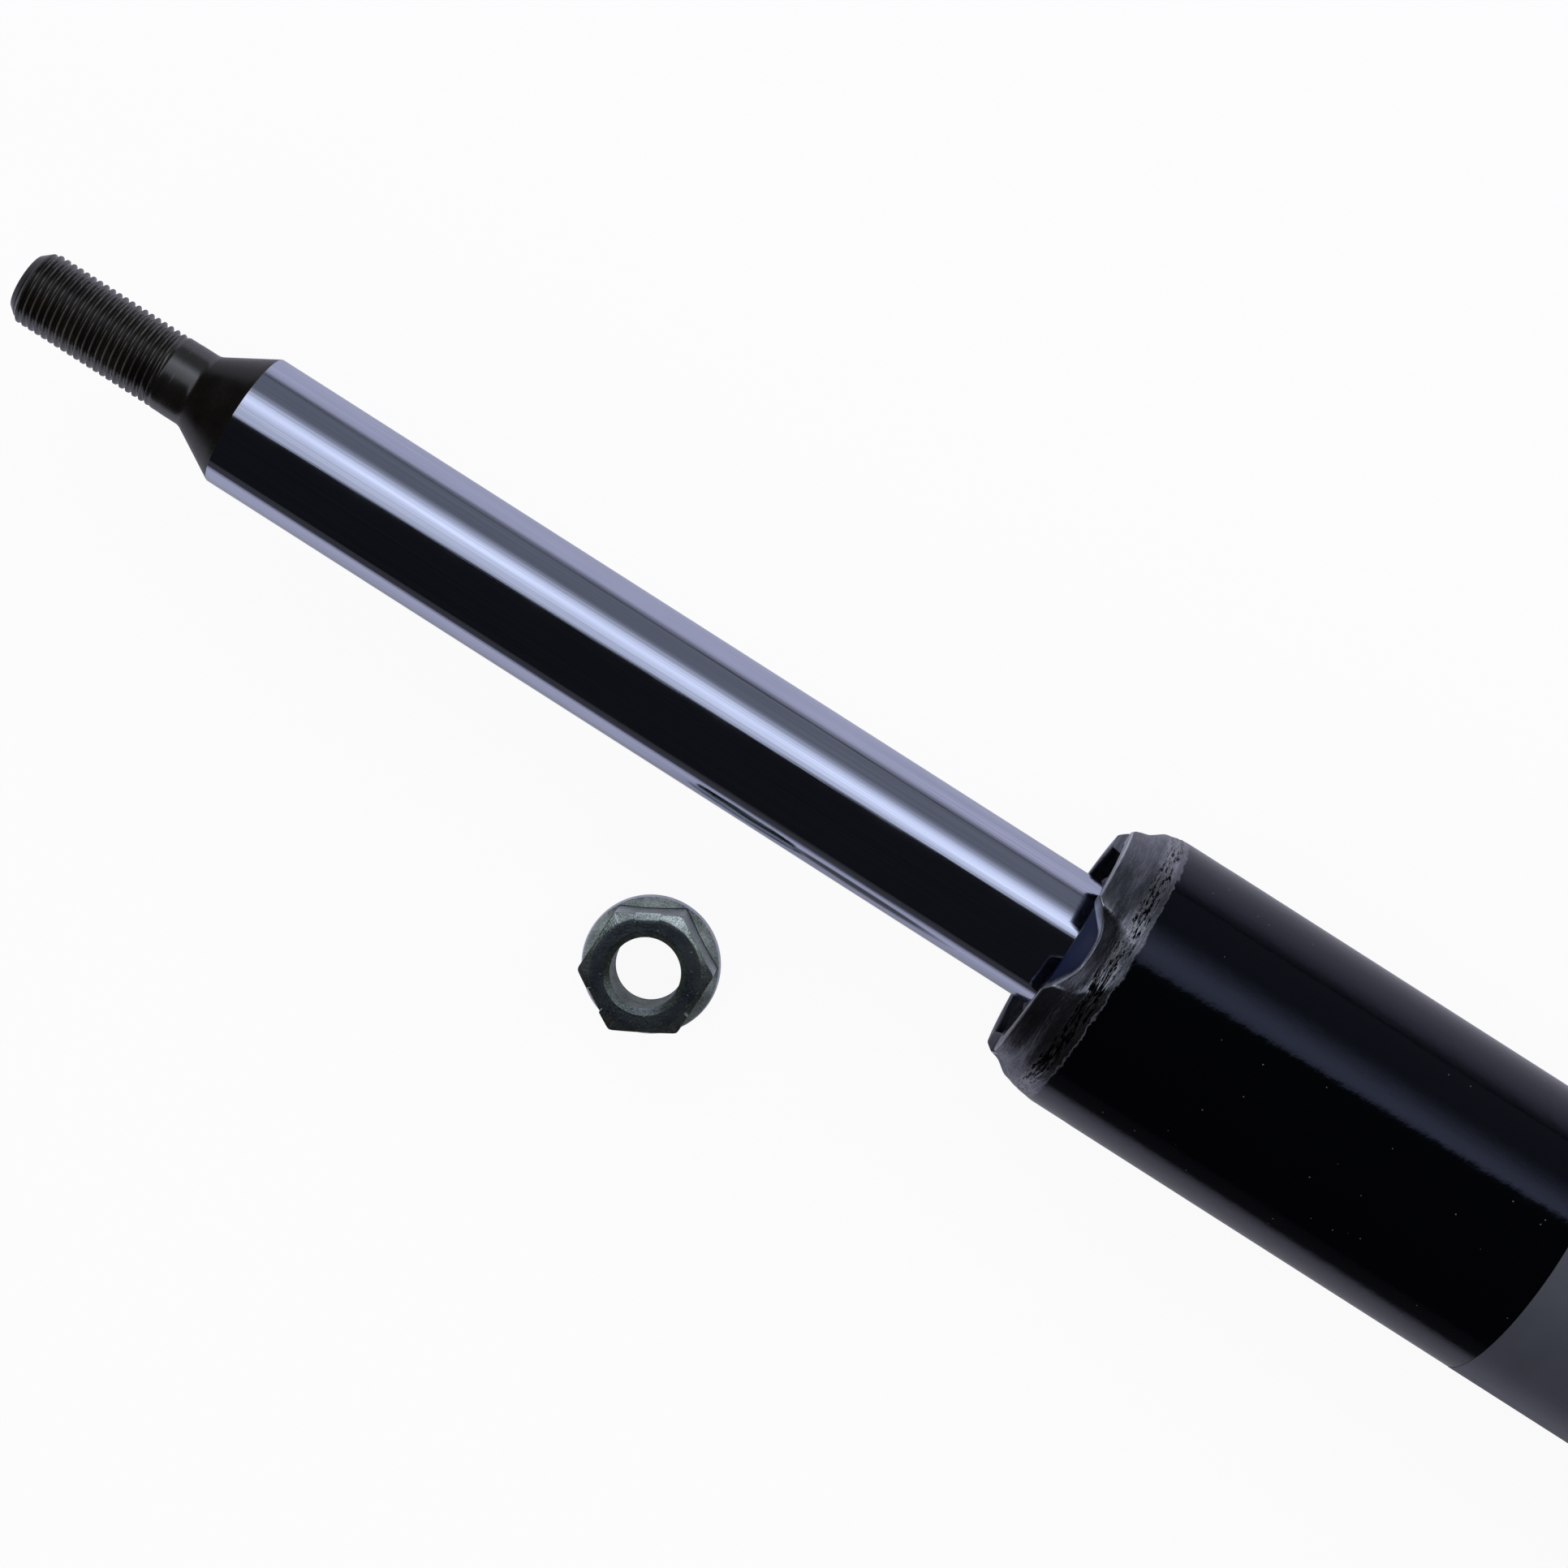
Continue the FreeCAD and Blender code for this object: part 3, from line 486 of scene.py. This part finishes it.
def nut_finish():
    """Grainy grey-green coating of the nut; painted shade makes it near black where it faces up, and
    its edges are lighter with wear and a painted highlight.
    """
    n = new_material("nut_finish")
    place = n.place()
    grain = n.noise(place, 3200.0, 4.0, 0.75)
    patches = n.noise(place, 210.0, 4.0)
    wear = n.attribute("wear")
    colour = n.ramp(n.weighted(0.7, grain, patches), (0.38, (0.11, 0.135, 0.12)),
                    (0.5, (0.38, 0.45, 0.39)), (0.62, (0.8, 0.9, 0.79)))
    # Light lavender where the wear is above zero: partly wear on the edges, partly a painted highlight
    # that stands for reflected floor, also on the hex's sides
    worn = n.ramp(n.linear(grain, 0.5, wear), (0.6, 0.0), (0.95, 1.0))
    colour = n.mix(worn, colour, (0.86, 0.87, 0.96))
    # Painted shade where the wear is below zero: bluish, then near black, on the top face and at the
    # hex's foot
    painted_shade = n.math("MULTIPLY", wear, -1.0)
    shade_colour = n.ramp(painted_shade, (0.3, (0.1, 0.14, 0.36)), (0.7, (0.016, 0.017, 0.021)))
    colour = n.mix(n.ramp(painted_shade, (0.1, 0.0), (0.7, 0.95)), colour, shade_colour)
    dust = specks(n, place, spacing_mm=1.0, size=0.13)
    colour = n.mix(dust, colour, (0.62, 0.66, 0.62))
    roughness = n.linear(grain, 0.22, n.linear(dust, 0.3, 0.08))
    return n.finish(colour, roughness, n.bump(grain, 0.05), Metallic=0.97)


def rubber(name, colour, shine=0.42):
    """Rubber or plastic with soft patches; shine is its lowest roughness."""
    n = new_material(name)
    place = n.place()
    grain = n.noise(place, 1500.0, 3.0)
    patches = n.noise(place, 120.0, 3.0)
    dark = tuple(0.6 * c for c in colour)
    return n.finish(n.mix(patches, dark, colour), n.linear(patches, 0.15, shine), n.bump(grain, 0.02))


def turned_metal(name, dark, light, roughness, metallic=1.0, grain_mm=0.3):
    """Machined or pressed metal with a fine grain and soft patches."""
    n = new_material(name)
    place = n.place()
    grain = n.noise(place, 1 / (grain_mm * mm), 3.0, 0.7)
    patches = n.noise(place, 90.0, 4.0)
    colour = n.mix(n.weighted(0.4, grain, patches), dark, light)
    return n.finish(colour, n.linear(patches, 0.15, roughness - 0.07), n.bump(grain, 0.015),
                    Metallic=metallic)


def foil():
    """Plain grey foil of the label, with faint creases."""
    n = new_material("label_foil")
    place = n.place()
    creases = n.noise(n.scaled(place, 1.0, 0.6, 0.6), 160.0, 3.0)
    grain = n.noise(n.scaled(place, 0.1, 1.0, 1.0), 2200.0, 2.0)
    colour = n.mix(creases, (0.075, 0.08, 0.105), (0.10, 0.105, 0.135))
    return n.finish(colour, n.linear(grain, 0.12, 0.36), n.bump(creases, 0.03, n.bump(grain, 0.004)),
                    Metallic=0.4)


# Meshes

def rod_shaft():
    """Chromed shaft with its stop groove and the reduced end that carries the piston."""
    groove_r = rod_r - stop_groove_depth
    outline = [(shoulder_end_x, rod_r), (shoulder_end_x - 0.5, rod_r)]
    outline += [(x, rod_r) for x in np.linspace(shoulder_end_x - 4, stop_high.x + 2, 60)]
    outline += [(stop_high.x, rod_r), (stop_high.x, groove_r), (stop_low.x, groove_r),
                (stop_low.x, rod_r), (support_high.x, rod_r), (support_high.x, spigot_r),
                (rod_low.x + spigot_chamfer, spigot_r), (rod_low.x, spigot_r - spigot_chamfer)]
    angle = circle(240)
    return keep_creases(skin("rod_shaft", [about_x(x, r, angle) for x, r in outline]))


def rod_stud():
    """Rolled thread, plain shank and conical shoulder, in one dark finish."""
    angle = circle(160)
    tip = rod_high.x
    rings, crest, dull = [], [], []

    def add(x, radius, shine=0.0, matt=0.0):
        rings.append(about_x(x, radius, angle))
        crest.append(shine + 0 * angle)
        dull.append(matt + 0 * angle)

    rings_per_turn = 12
    crest_width = 0.17
    chamfer_dullness = 0.85
    threaded = np.arange(tip, thread_end_x - 2 * thread_pitch, -thread_pitch / rings_per_turn)
    for x in threaded:
        tooth = thread_tooth(x, angle)
        root = smooth_min(1.18 * tooth, 1.0, 0.35) - 0.09
        fade = step(thread_end_x - thread_pitch, thread_end_x + 1.5 * thread_pitch, x)
        radius = stud_r - thread_crest_cut - thread_depth * root * fade
        chamfer = stud_r - stud_chamfer * (1 - (tip - x) / stud_chamfer_length)
        in_chamfer = step(-0.2, 0.2, radius - chamfer)
        # Crest lines for the painted highlight on the thread
        line = bell(tooth, 0.0, crest_width) * fade * (1 - in_chamfer)
        add(x, smooth_min(radius, chamfer, 0.25), line, chamfer_dullness * in_chamfer)
    for x in np.linspace(threaded[-1] - 0.2, 0.0, 12):
        add(x, stud_r)
    for turn in np.linspace(0.1, 1, 10) * shoulder_angle:
        add(-shoulder_fillet * math.sin(turn), stud_r + shoulder_fillet * (1 - math.cos(turn)),
            matt=(turn / shoulder_angle) ** 3)
    fillet_x = -shoulder_fillet * math.sin(shoulder_angle)
    fillet_r = stud_r + shoulder_fillet * (1 - math.cos(shoulder_angle))
    for share in np.linspace(0.12, 0.97, 10):
        add(fillet_x + (shoulder_end_x - fillet_x) * share, fillet_r + (rod_r - fillet_r) * share,
            matt=1.0)
    add(shoulder_end_x + 0.05, rod_r - 0.06, matt=1.0)
    add(shoulder_end_x, rod_r - 0.02, matt=1.0)
    piece = keep_creases(skin("rod_stud", rings), 60.0)
    paint(piece, "crest", crest)
    paint(piece, "dull", dull)
    return piece


def neck_angle():
    drop = tube_r - neck_radius - rim_r
    return math.atan2(drop, neck_length) + math.asin(neck_radius / math.hypot(neck_length, drop))


def envelope_r(depth, wall):
    """Radius of the tube's outer side, or of a side that lies a wall inside it, without crimps."""
    lean = neck_angle()
    round_r = neck_radius - wall
    tangent = neck_length - round_r * math.sin(lean)
    tangent_r = tube_r - neck_radius + round_r * math.cos(lean)
    line = tangent_r + (depth - tangent) * math.tan(lean)
    inside = np.clip(round_r ** 2 - (depth - neck_length) ** 2, 0, None)
    arc = tube_r - neck_radius + np.sqrt(inside)
    top = np.where(depth < tangent, line, np.where(depth < neck_length, arc, tube_r - wall))
    return top - (tube_r - foot_r) * np.clip((depth - taper_top) / foot_taper_length, 0, 1)


def crimp_r(depth, angle, wall):
    """Radius where the crimping punches stop, and far out where none reaches."""
    slope = (tube_r - rim_r + crimp_push) / crimp_length
    lean = math.atan(slope)
    reach = crimp_radius + wall
    hollow = crimp_hollow * bell(depth, crimp_hollow_depth, crimp_hollow_width)
    rounds = 12                 # tries until the radius and the punch's curve agree
    nearest = np.full(np.broadcast(depth, angle).shape, 4 * tube_r)
    for i in range(crimp_count):
        centre = crimp_first_angle + i * 2 * math.pi / crimp_count
        away = (angle - centre + math.pi) % (2 * math.pi) - math.pi
        radius = np.full(nearest.shape, float(rim_r))
        for _ in range(rounds):
            side = np.clip(radius * np.sin(away), -reach, reach)
            rise = (crimp_radius - np.sqrt(reach ** 2 - side ** 2)) / math.cos(lean)
            outward = tube_r - (crimp_length - depth) * slope + rise - hollow
            radius = 0.5 * (radius + outward / np.maximum(np.cos(away), 0.2))
        covers = (np.abs(away) < 1.0) & (np.abs(radius * np.sin(away)) < reach)
        nearest = np.where(covers, np.minimum(nearest, radius), nearest)
    return nearest


def lip_depth(angle):
    """Depth of the tube's lip below the rim: 0, and lower in the four notches."""
    away = (angle - crimp_first_angle + math.pi / crimp_count) % (2 * math.pi / crimp_count)
    side = np.abs((rim_r - crimp_push) * np.sin(away - math.pi / crimp_count))
    uneven = 0.5 * ripple(angle, 0.0, seed=31, turns=5, pace=0.0, octaves=2)
    across = np.clip((side + uneven) / notch_half_width, 0, 1)
    return notch_depth * (1 - across ** 3) ** 1.3


def wall_r(depth, angle, wall):
    """Radius of the tube's wall with its crimps, on the outer side or a wall inside it."""
    raised = bell(depth, neck_ridge_depth, neck_ridge_width)
    dipped = bell(depth, neck_dip_depth, neck_ridge_width)
    side = envelope_r(depth, wall) + neck_ridge * (raised - 0.8 * dipped)
    return smooth_min(side, crimp_r(depth, angle, wall), crimp_blend)


def outer_tube():
    """Reservoir tube with its crimped neck, notched lip and the wrinkled coat where it was formed."""
    angle = circle(640)
    lip = lip_depth(angle)
    rings, wear, fold_depth = [], [], []

    def add(depth, radius, worn=0.0, folded=0.5):
        rings.append(about_x(rim_x - depth, radius, angle))
        wear.append(worn + 0 * angle)
        fold_depth.append(folded + 0 * angle)

    def side_ring(depth, wall):
        return wall_r(np.broadcast_to(depth, angle.shape), angle, wall)

    def below_lip(share):
        return lip + lip_round + (fine_foot - lip - lip_round) * share

    for depth in (tube_length, tube_length - 1, foot_top + 1, foot_top):
        add(depth, side_ring(depth, 0))
    for depth in np.linspace(taper_top, plain_top, 70):
        add(depth, side_ring(depth, 0))
    for share in np.linspace(1, 0, 130)[:-1]:
        depth = below_lip(share)
        band = step(wrinkle_top, wrinkle_top + wrinkle_top_fade, depth)
        band = band * (1 - step(wrinkle_foot - wrinkle_foot_fade, wrinkle_foot, depth))
        torn = 0.55 + 0.45 * ripple(angle, 0.0, seed=5, turns=5, pace=0.2)
        folds = (ripple(angle, depth, seed=11, turns=5, pace=3.0, octaves=3)
                 + 0.5 * ripple(angle, depth, seed=12, turns=22, pace=5.0, octaves=2))
        groove = band * np.clip(torn, 0, 1) * np.clip(1.3 * folds, -1, 1)
        dents = ripple(angle, depth, seed=23, turns=7, pace=0.35, octaves=3)
        dents = dents * (1 - step(11.0, 13.0, depth))
        radius = side_ring(depth, 0) - wrinkle_depth * np.clip(groove, -0.3, 1)
        radius = radius - np.clip(0.05 * dents + 0.04, 0, None)
        scuff = np.exp(-(depth - lip - lip_round) / 0.25) * (1 - 0.6 * lip / notch_depth)
        # The fold depth drives painted shade and highlight in the neck's colour
        add(depth, radius, 0.7 * scuff, 0.5 + 0.5 * groove)
    outer = side_ring(lip + lip_round, 0)
    for turn in np.linspace(0.25, 1, 4) * math.pi / 2:
        depth = lip + lip_round * (1 - math.sin(turn))
        inset = lip_round * (1 - math.cos(turn))
        add(depth, outer - inset, 1.0 - 0.9 * (turn / (math.pi / 2)) ** 3)
    inner = side_ring(lip + lip_round, tube_wall)
    for turn in np.linspace(1, 0, 5) * math.pi / 2:
        depth = lip + lip_round * (1 - math.sin(turn))
        add(depth, inner + lip_round * (1 - math.cos(turn)), 0.1)
    for share in np.linspace(0.03, 1, 50):
        add(below_lip(share), side_ring(below_lip(share), tube_wall))
    for depth in (plain_top, taper_top, foot_top, tube_length):
        add(depth, side_ring(depth, tube_wall))
    piece = keep_creases(skin("outer_tube", rings, loop=True), 50.0)
    paint(piece, "wear", wear)
    paint(piece, "fold_depth", fold_depth)
    return piece


def wiper_seal():
    """Rubber ring round the rod with a rounded wiper lip, down to the seal's oil lip."""
    angle = circle(180)
    top, foot = seal_high.x, seal_low.x
    hug = rod_r + seal_hug
    throat = rod_r + seal_throat
    body = rod_r + 3.8
    slim = rod_r + 2.3
    slim_length = 6.6
    lip_r = 0.45
    outline = [(foot, hug), (foot, slim), (foot + slim_length, slim), (foot + slim_length, body),
               (top - 9.0, body), (top - 6.0, body - 0.4), (top - 2.0, rod_r + 2.4),
               (top - 0.7, rod_r + 1.75)]
    outline += [(top - lip_r + lip_r * math.sin(turn), rod_r + 1.05 + lip_r * math.cos(turn))
                for turn in np.linspace(0.2, math.pi / 2, 5)]
    outline += [(top - 0.2, rod_r + 0.5), (top - 0.6, hug), (top - 2.0, hug), (top - 3.0, throat),
                (foot + 4.0, throat)]
    rings = [about_x(x, r, angle) for x, r in outline]
    return keep_creases(skin("wiper_seal", rings, loop=True), 50.0)


def lock_nut():
    """Flange lock nut with rounded corners, chamfered crown, three dents and a threaded bore."""
    angle = circle(720)
    flat_r = nut_af / 2
    corner_r = flat_r / math.cos(math.pi / 6)
    flat = (angle - nut_turn) % (math.pi / 3) - math.pi / 6
    prism = smooth_min(flat_r / np.cos(flat), corner_r - 0.12, 0.35)
    near_corner = bell(np.abs(flat) * corner_r, math.pi / 6 * corner_r, 0.22)
    dent_foot = nut_height - nut_dent_height
    dent_turn = (angle - nut_turn - math.pi / 6 + math.pi / 3) % (2 * math.pi / 3) - math.pi / 3
    dent_side = np.abs((flat_r - nut_dent_depth) * np.tan(dent_turn))
    in_dent = 1 - step(nut_dent_width / 2 - 0.1, nut_dent_width / 2 + 0.12, dent_side)
    dented = (flat_r - nut_dent_depth) / np.cos(dent_turn)
    dent_rim = bell(dent_side, nut_dent_width / 2, 0.2)
    rings, wear = [], []

    # worn above zero is wear and a painted highlight, below zero painted shade
    def add(height, radius, worn=0.0):
        up = height - nut_height / 2 + 0 * angle
        rings.append(np.stack([radius * np.cos(angle), radius * np.sin(angle), up], axis=-1))
        wear.append(worn + 0 * angle)

    def cone_r(height):
        share = (height - nut_flange_edge) / nut_flange_rise
        return nut_flange_r - (nut_flange_r - nut_cone_r) * share

    def outer_side(height):
        crown = nut_face_r + (nut_height - height) * (corner_r - nut_face_r) / nut_chamfer_rise
        side = smooth_min(prism, crown, 0.15)
        pressed = in_dent * step(dent_foot - 0.1, dent_foot + 0.1, height)
        side = np.where(side > dented, side + (dented - side) * pressed, side)
        return smooth_max(side, cone_r(height), 0.14)

    # Wear and painted light on the nut's outside: a painted highlight with the wear on the flange rim,
    # the hex's sides, corners and dent edges, and painted shade at the hex's foot
    def outer_wear_highlight_and_shade(height):
        above = prism - cone_r(height)
        rim = 0.95 * (1 - step(0.3, 0.7, height - nut_flange_edge))
        # Painted contact shadow: a dark line where the hex's sides meet the cone
        foot = -bell(above, -0.05, 0.09)
        crown = step(nut_height - nut_chamfer_rise, nut_height - nut_chamfer_rise + 0.3, height)
        wall = np.where(above > 0.1, 0.45, 0.0) * (1 - crown)
        ledge = 0.5 * in_dent * bell(height, dent_foot, 0.16)
        crown_corner = 0.42 * crown * step(nut_face_r + 0.5, nut_face_r + 1.2, prism)
        corner = (0.6 * near_corner * (1 - 0.6 * crown) + crown_corner) * (above > 0.1)
        dent_edge = 0.6 * dent_rim * (height > dent_foot)
        return np.maximum.reduce([rim + 0 * angle, wall, ledge, corner, dent_edge]) + 2 * foot

    # The flange rim is lighter: wear and a painted highlight
    add(0.0, nut_flange_r - 0.35)
    add(0.12, nut_flange_r - 0.1, 0.5)
    add(0.3, nut_flange_r, 0.8)
    add(nut_flange_edge - 0.25, nut_flange_r, 0.8)
    add(nut_flange_edge - 0.08, nut_flange_r - 0.06, 0.9)
    cone_end = nut_flange_edge + nut_flange_rise + 1.2
    for height in np.linspace(nut_flange_edge + 0.08, cone_end, 22):
        add(height, np.minimum(outer_side(height), nut_flange_r - 0.1), outer_wear_highlight_and_shade(height))
    below_dents = np.linspace(cone_end + 0.4, dent_foot - 0.25, 8)
    beside_dents = np.linspace(dent_foot - 0.12, nut_height - 0.1, 24)
    for height in [*below_dents, *beside_dents]:
        add(height, outer_side(height), outer_wear_highlight_and_shade(height))
    rim = outer_side(nut_height - 0.1)
    face_rim = rim - nut_face_round
    sink_rim = nut_countersink_r + 0.15
    add(nut_height - 0.03, rim - 0.12, 0.35)
    # The top face gets painted shade: near black where it faces up
    add(nut_height, face_rim, nut_face_shade + 0.02)
    for share in (0.3, 0.6, 0.85, 1.0):
        add(nut_height, face_rim + (sink_rim - face_rim) * share, nut_face_shade)
    sink = nut_countersink_r - nut_bore_r
    add(nut_height - 0.1, nut_countersink_r)
    for height in np.arange(nut_height - sink, sink, -thread_pitch / 10):
        tooth = thread_tooth(height, angle)
        fade = min(1.0, (nut_height - sink - height) + 0.25, (height - sink) + 0.25)
        root = smooth_min(1.15 * tooth, 1.0, 0.3)
        # The bore's thread crests are lighter: wear and a painted highlight
        add(height, nut_bore_r + nut_thread_depth * root * fade, 0.75 * bell(tooth, 0.0, 0.3))
    add(0.1, nut_countersink_r)
    add(0.0, sink_rim)
    piece = skin("lock_nut", rings, loop=True)
    piece.data.transform(Matrix.Translation(nut_centre * mm))
    paint(piece, "wear", wear)
    return keep_creases(piece, 16.0)


def foil_label():
    """Plain label that wraps part of the tube's side."""
    angle = np.linspace(label_from, label_to, 70)
    low, high = tube_r + 0.01, tube_r + label_thickness
    rings = [np.concatenate([about_x(x, high, angle), about_x(x, low, angle[::-1])])
             for x in np.linspace(label_edge_x, label_edge_x - label_length, 40)]
    return keep_creases(skin("foil_label", rings), 50.0)


# Pieces, their finish and the bodies that they ride on

def dress(piece, material, body, slot, *nodes):
    piece.data.materials.clear()
    piece.data.materials.append(material)
    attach(piece, body)
    if nodes:
        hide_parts(*nodes)


enamel = black_enamel()
chrome = hard_chrome()
dark_steel = phosphate()
dress(rod_shaft(), chrome, "rod", "hard_chrome", "piston_rod")
dress(rod_stud(), dark_steel, "rod", "phosphate", "piston_rod")
dress(outer_tube(), tube_paint(), "cylinder", "black_enamel", "reservoir_tube")
navy_rubber = rubber("navy_rubber", (0.006, 0.011, 0.05))
dress(wiper_seal(), navy_rubber, "cylinder", "navy_rubber", "rod_seal")
dress(lock_nut(), nut_finish(), "nut", "phosphate", "top_nut")
dress(foil_label(), foil(), "cylinder", "black_enamel")

steel = turned_metal("bright_steel", (0.34, 0.34, 0.35), (0.5, 0.5, 0.51), 0.3)
spring = turned_metal("spring_steel", (0.22, 0.23, 0.26), (0.36, 0.37, 0.4), 0.28)
sintered = turned_metal("sintered_iron", (0.13, 0.125, 0.12), (0.24, 0.23, 0.22), 0.5, 0.9, 0.15)
bronze = turned_metal("bronze", (0.42, 0.24, 0.10), (0.55, 0.34, 0.16), 0.35)
black_rubber = rubber("black_rubber", (0.012, 0.012, 0.013))
cushion = rubber("cushion_plastic", (0.55, 0.50, 0.36), 0.5)
band = rubber("band_plastic", (0.05, 0.035, 0.02), 0.45)
finishes = {
    "bottom_cap": enamel, "base_weld": enamel, "knuckle_bracket": enamel, "bracket_channel": enamel,
    "bracket_welds": enamel, "hose_bracket": enamel, "hose_bracket_weld": enamel,
    "pressure_tube": steel, "rod_guide": sintered, "guide_bushing": bronze,
    "guide_o_ring": black_rubber, "seal_insert": steel, "garter_spring": spring,
    "base_valve_body": sintered, "base_valve_bolt": steel, "base_shims": spring,
    "base_check_spring": spring, "base_check_plate": spring, "rebound_cushion": cushion,
    "rebound_stop_ring": steel, "piston_support": steel, "piston_check_spring": spring,
    "piston_check_plate": spring, "piston_body": sintered, "piston_band": band,
    "rebound_shims": spring, "shim_backing": steel, "piston_nut": steel,
}
for node, material in finishes.items():
    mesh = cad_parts[node].data
    mesh.materials.clear()
    mesh.materials.append(material)
for node in ("knuckle_bracket", "bracket_channel", "hose_bracket", "bottom_cap"):
    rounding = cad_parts[node].modifiers.new("rounded_edges", "BEVEL")
    rounding.width = 0.35 * mm
    rounding.segments = 2
    rounding.limit_method = "ANGLE"
    rounding.angle_limit = math.radians(40)
    rounding.harden_normals = True


# Floor, light and camera; places and lengths are metres from here on

def floor():
    """Pale floor that is near white to the camera and keeps a soft shadow.

    Mirrored in metal and glossy paint it is dim in part: in bands along the strut, and beside the nut.
    """
    reach = 20.0
    z = floor_z * mm - 0.0002
    shade_middle = (nut_centre.x * mm - 0.0294, nut_centre.y * mm + 0.0152, z)
    shade_reach = 0.028
    dim = 0.03
    corners = [(-reach, -reach), (reach, -reach), (reach, reach), (-reach, reach)]
    plane = flat_panel("floor", corners, z)
    n = new_material("floor_white")
    n.finish((0.78, 0.78, 0.90), 0.9)
    path = n.node("LightPath")
    across = n.linear(n.xyz(n.place())[1], 0.5, 0.5)
    hidden = n.ramp(across, (0.15, 0.84), (0.308, 0.72), (0.4, 0.42), (0.44, 0.25), (0.55, 0.24),
                    (0.565, 0.44), (0.585, 0.97))
    away = n.add("VectorMath", {0: n.place(), 1: shade_middle}, operation="DISTANCE", output="Value")
    nut_shade = n.ramp(n.math("MULTIPLY", away, 1 / shade_reach), (0.5, 0.9), (1.0, 0.0))
    mirrored = n.math("MAXIMUM", path["Is Glossy Ray"], path["Is Transmission Ray"])
    share = n.linear(mirrored, n.math("MAXIMUM", hidden, nut_shade),
                     n.math("MULTIPLY", path["Is Camera Ray"], 0.93))
    strength = n.linear(mirrored, dim, path["Is Camera Ray"])
    glow = n.add("Emission", {"Color": (*white, 1), "Strength": strength})
    mixed = n.add("MixShader", {0: share, 1: n.shader.outputs[0], 2: glow})
    plane.data.materials.append(n.show(mixed))


def softbox():
    """Large diffuser above one side of the strut, with a bright middle and a soft slanted edge."""
    height = 1.0
    width = 1.7
    edge_blur = 0.1
    corners = [(0.96, 0.62), (-1.04, -0.90), (-1.04, -width), (0.96, -width)]
    panel = flat_panel("softbox", corners, height)
    n = new_material("softbox_light")
    x, y, _ = n.xyz(n.place())
    profile = n.ramp(n.math("MULTIPLY", y, -1 / width), (0.13, 0.55), (0.25, 0.67), (0.32, 0.85),
                     (0.39, 1.0), (0.474, 0.9), (0.574, 0.66), (0.688, 0.40), (0.856, 0.2),
                     (0.98, 0.15))
    from_edge = n.math("MULTIPLY", n.linear(x, 0.76, n.linear(y, -1.0, -0.13)), 1 / edge_blur)
    soft_edge = n.ramp(from_edge, (0.0, 0.0), (0.55, 0.85), (1.0, 1.0))
    strength = n.math("MULTIPLY", profile, n.math("MULTIPLY", soft_edge, 1.06))
    glow = n.add("Emission", {"Color": (1.0, 1.07, 1.2, 1), "Strength": strength})
    panel.data.materials.append(n.show(glow))
    panel.visible_camera = False
    panel.visible_shadow = False


def fill_light(name, location, target, size, power):
    """Soft lamp that lights the surfaces without a shape of its own in the metal."""
    data = bpy.data.lights.new(name, "AREA")
    data.shape = "DISK"
    data.size = size
    data.energy = power
    lamp = add_object(name, data)
    lamp.location = location
    lamp.rotation_euler = (Vector(target) - Vector(location)).to_track_quat("-Z", "Y").to_euler()
    lamp.visible_glossy = False
    lamp.visible_camera = False


def studio_world():
    """White to the camera; for all other rays a dark room with a dim wall on the side of -Y."""
    world = bpy.data.worlds.new("studio")
    bpy.context.scene.world = world
    n = Nodes(world)
    toward = n.xyz(n.add("TexCoord", output="Generated"))[1]
    wall = n.add("MapRange", {"Value": toward, "From Min": -0.5, "From Max": -0.85, "To Min": 0.008,
                              "To Max": 0.15})
    room = n.add("VectorMath", {0: (1.0, 1.08, 1.22), "Scale": wall}, operation="SCALE")
    seen = n.mix(n.node("LightPath")["Is Camera Ray"], room, white)
    n.put(n.tree.nodes["Background"].inputs["Color"], seen)


def camera():
    """Camera above the strut, rolled so that the rod runs down to the right in the picture."""
    data = bpy.data.cameras.new("camera")
    data.lens = 77.6
    data.sensor_width = 36.0
    data.clip_start = 0.01
    item = add_object("camera", data)
    eye = Vector((-138.6, -54.0, 660.0)) * mm
    target = Vector((-138.6, 3.3, 0.0)) * mm
    rod_right, rod_down = 0.843, 0.538      # the rod's direction in the picture
    roll = math.atan2(rod_down, rod_right)
    back = (eye - target).normalized()
    across = Vector((0, back.z, -back.y))
    right = Vector((-1, 0, 0)) * math.cos(roll) - across * math.sin(roll)
    up = back.cross(right)
    item.matrix_world = Matrix.Translation(eye) @ Matrix((right, up, back)).transposed().to_4x4()
    bpy.context.scene.camera = item


floor()
softbox()
middle = (-0.25, 0.0, 0.0)
lamp_distance, lamp_height = 1.5, 0.9
fill_light("fill_over", (middle[0], 0.0, 1.6), middle, 1.6, 9.0)
for name, turn, power in (("fill_left", 45, 5.0), ("fill_back", 135, 5.0), ("fill_right", 225, 11.0),
                          ("fill_front", 315, 11.0)):
    way = math.radians(turn)
    location = (middle[0] + lamp_distance * math.cos(way), lamp_distance * math.sin(way), lamp_height)
    fill_light(name, location, middle, 1.3, power)
studio_world()
camera()
bpy.context.scene.view_settings.view_transform = "Standard"
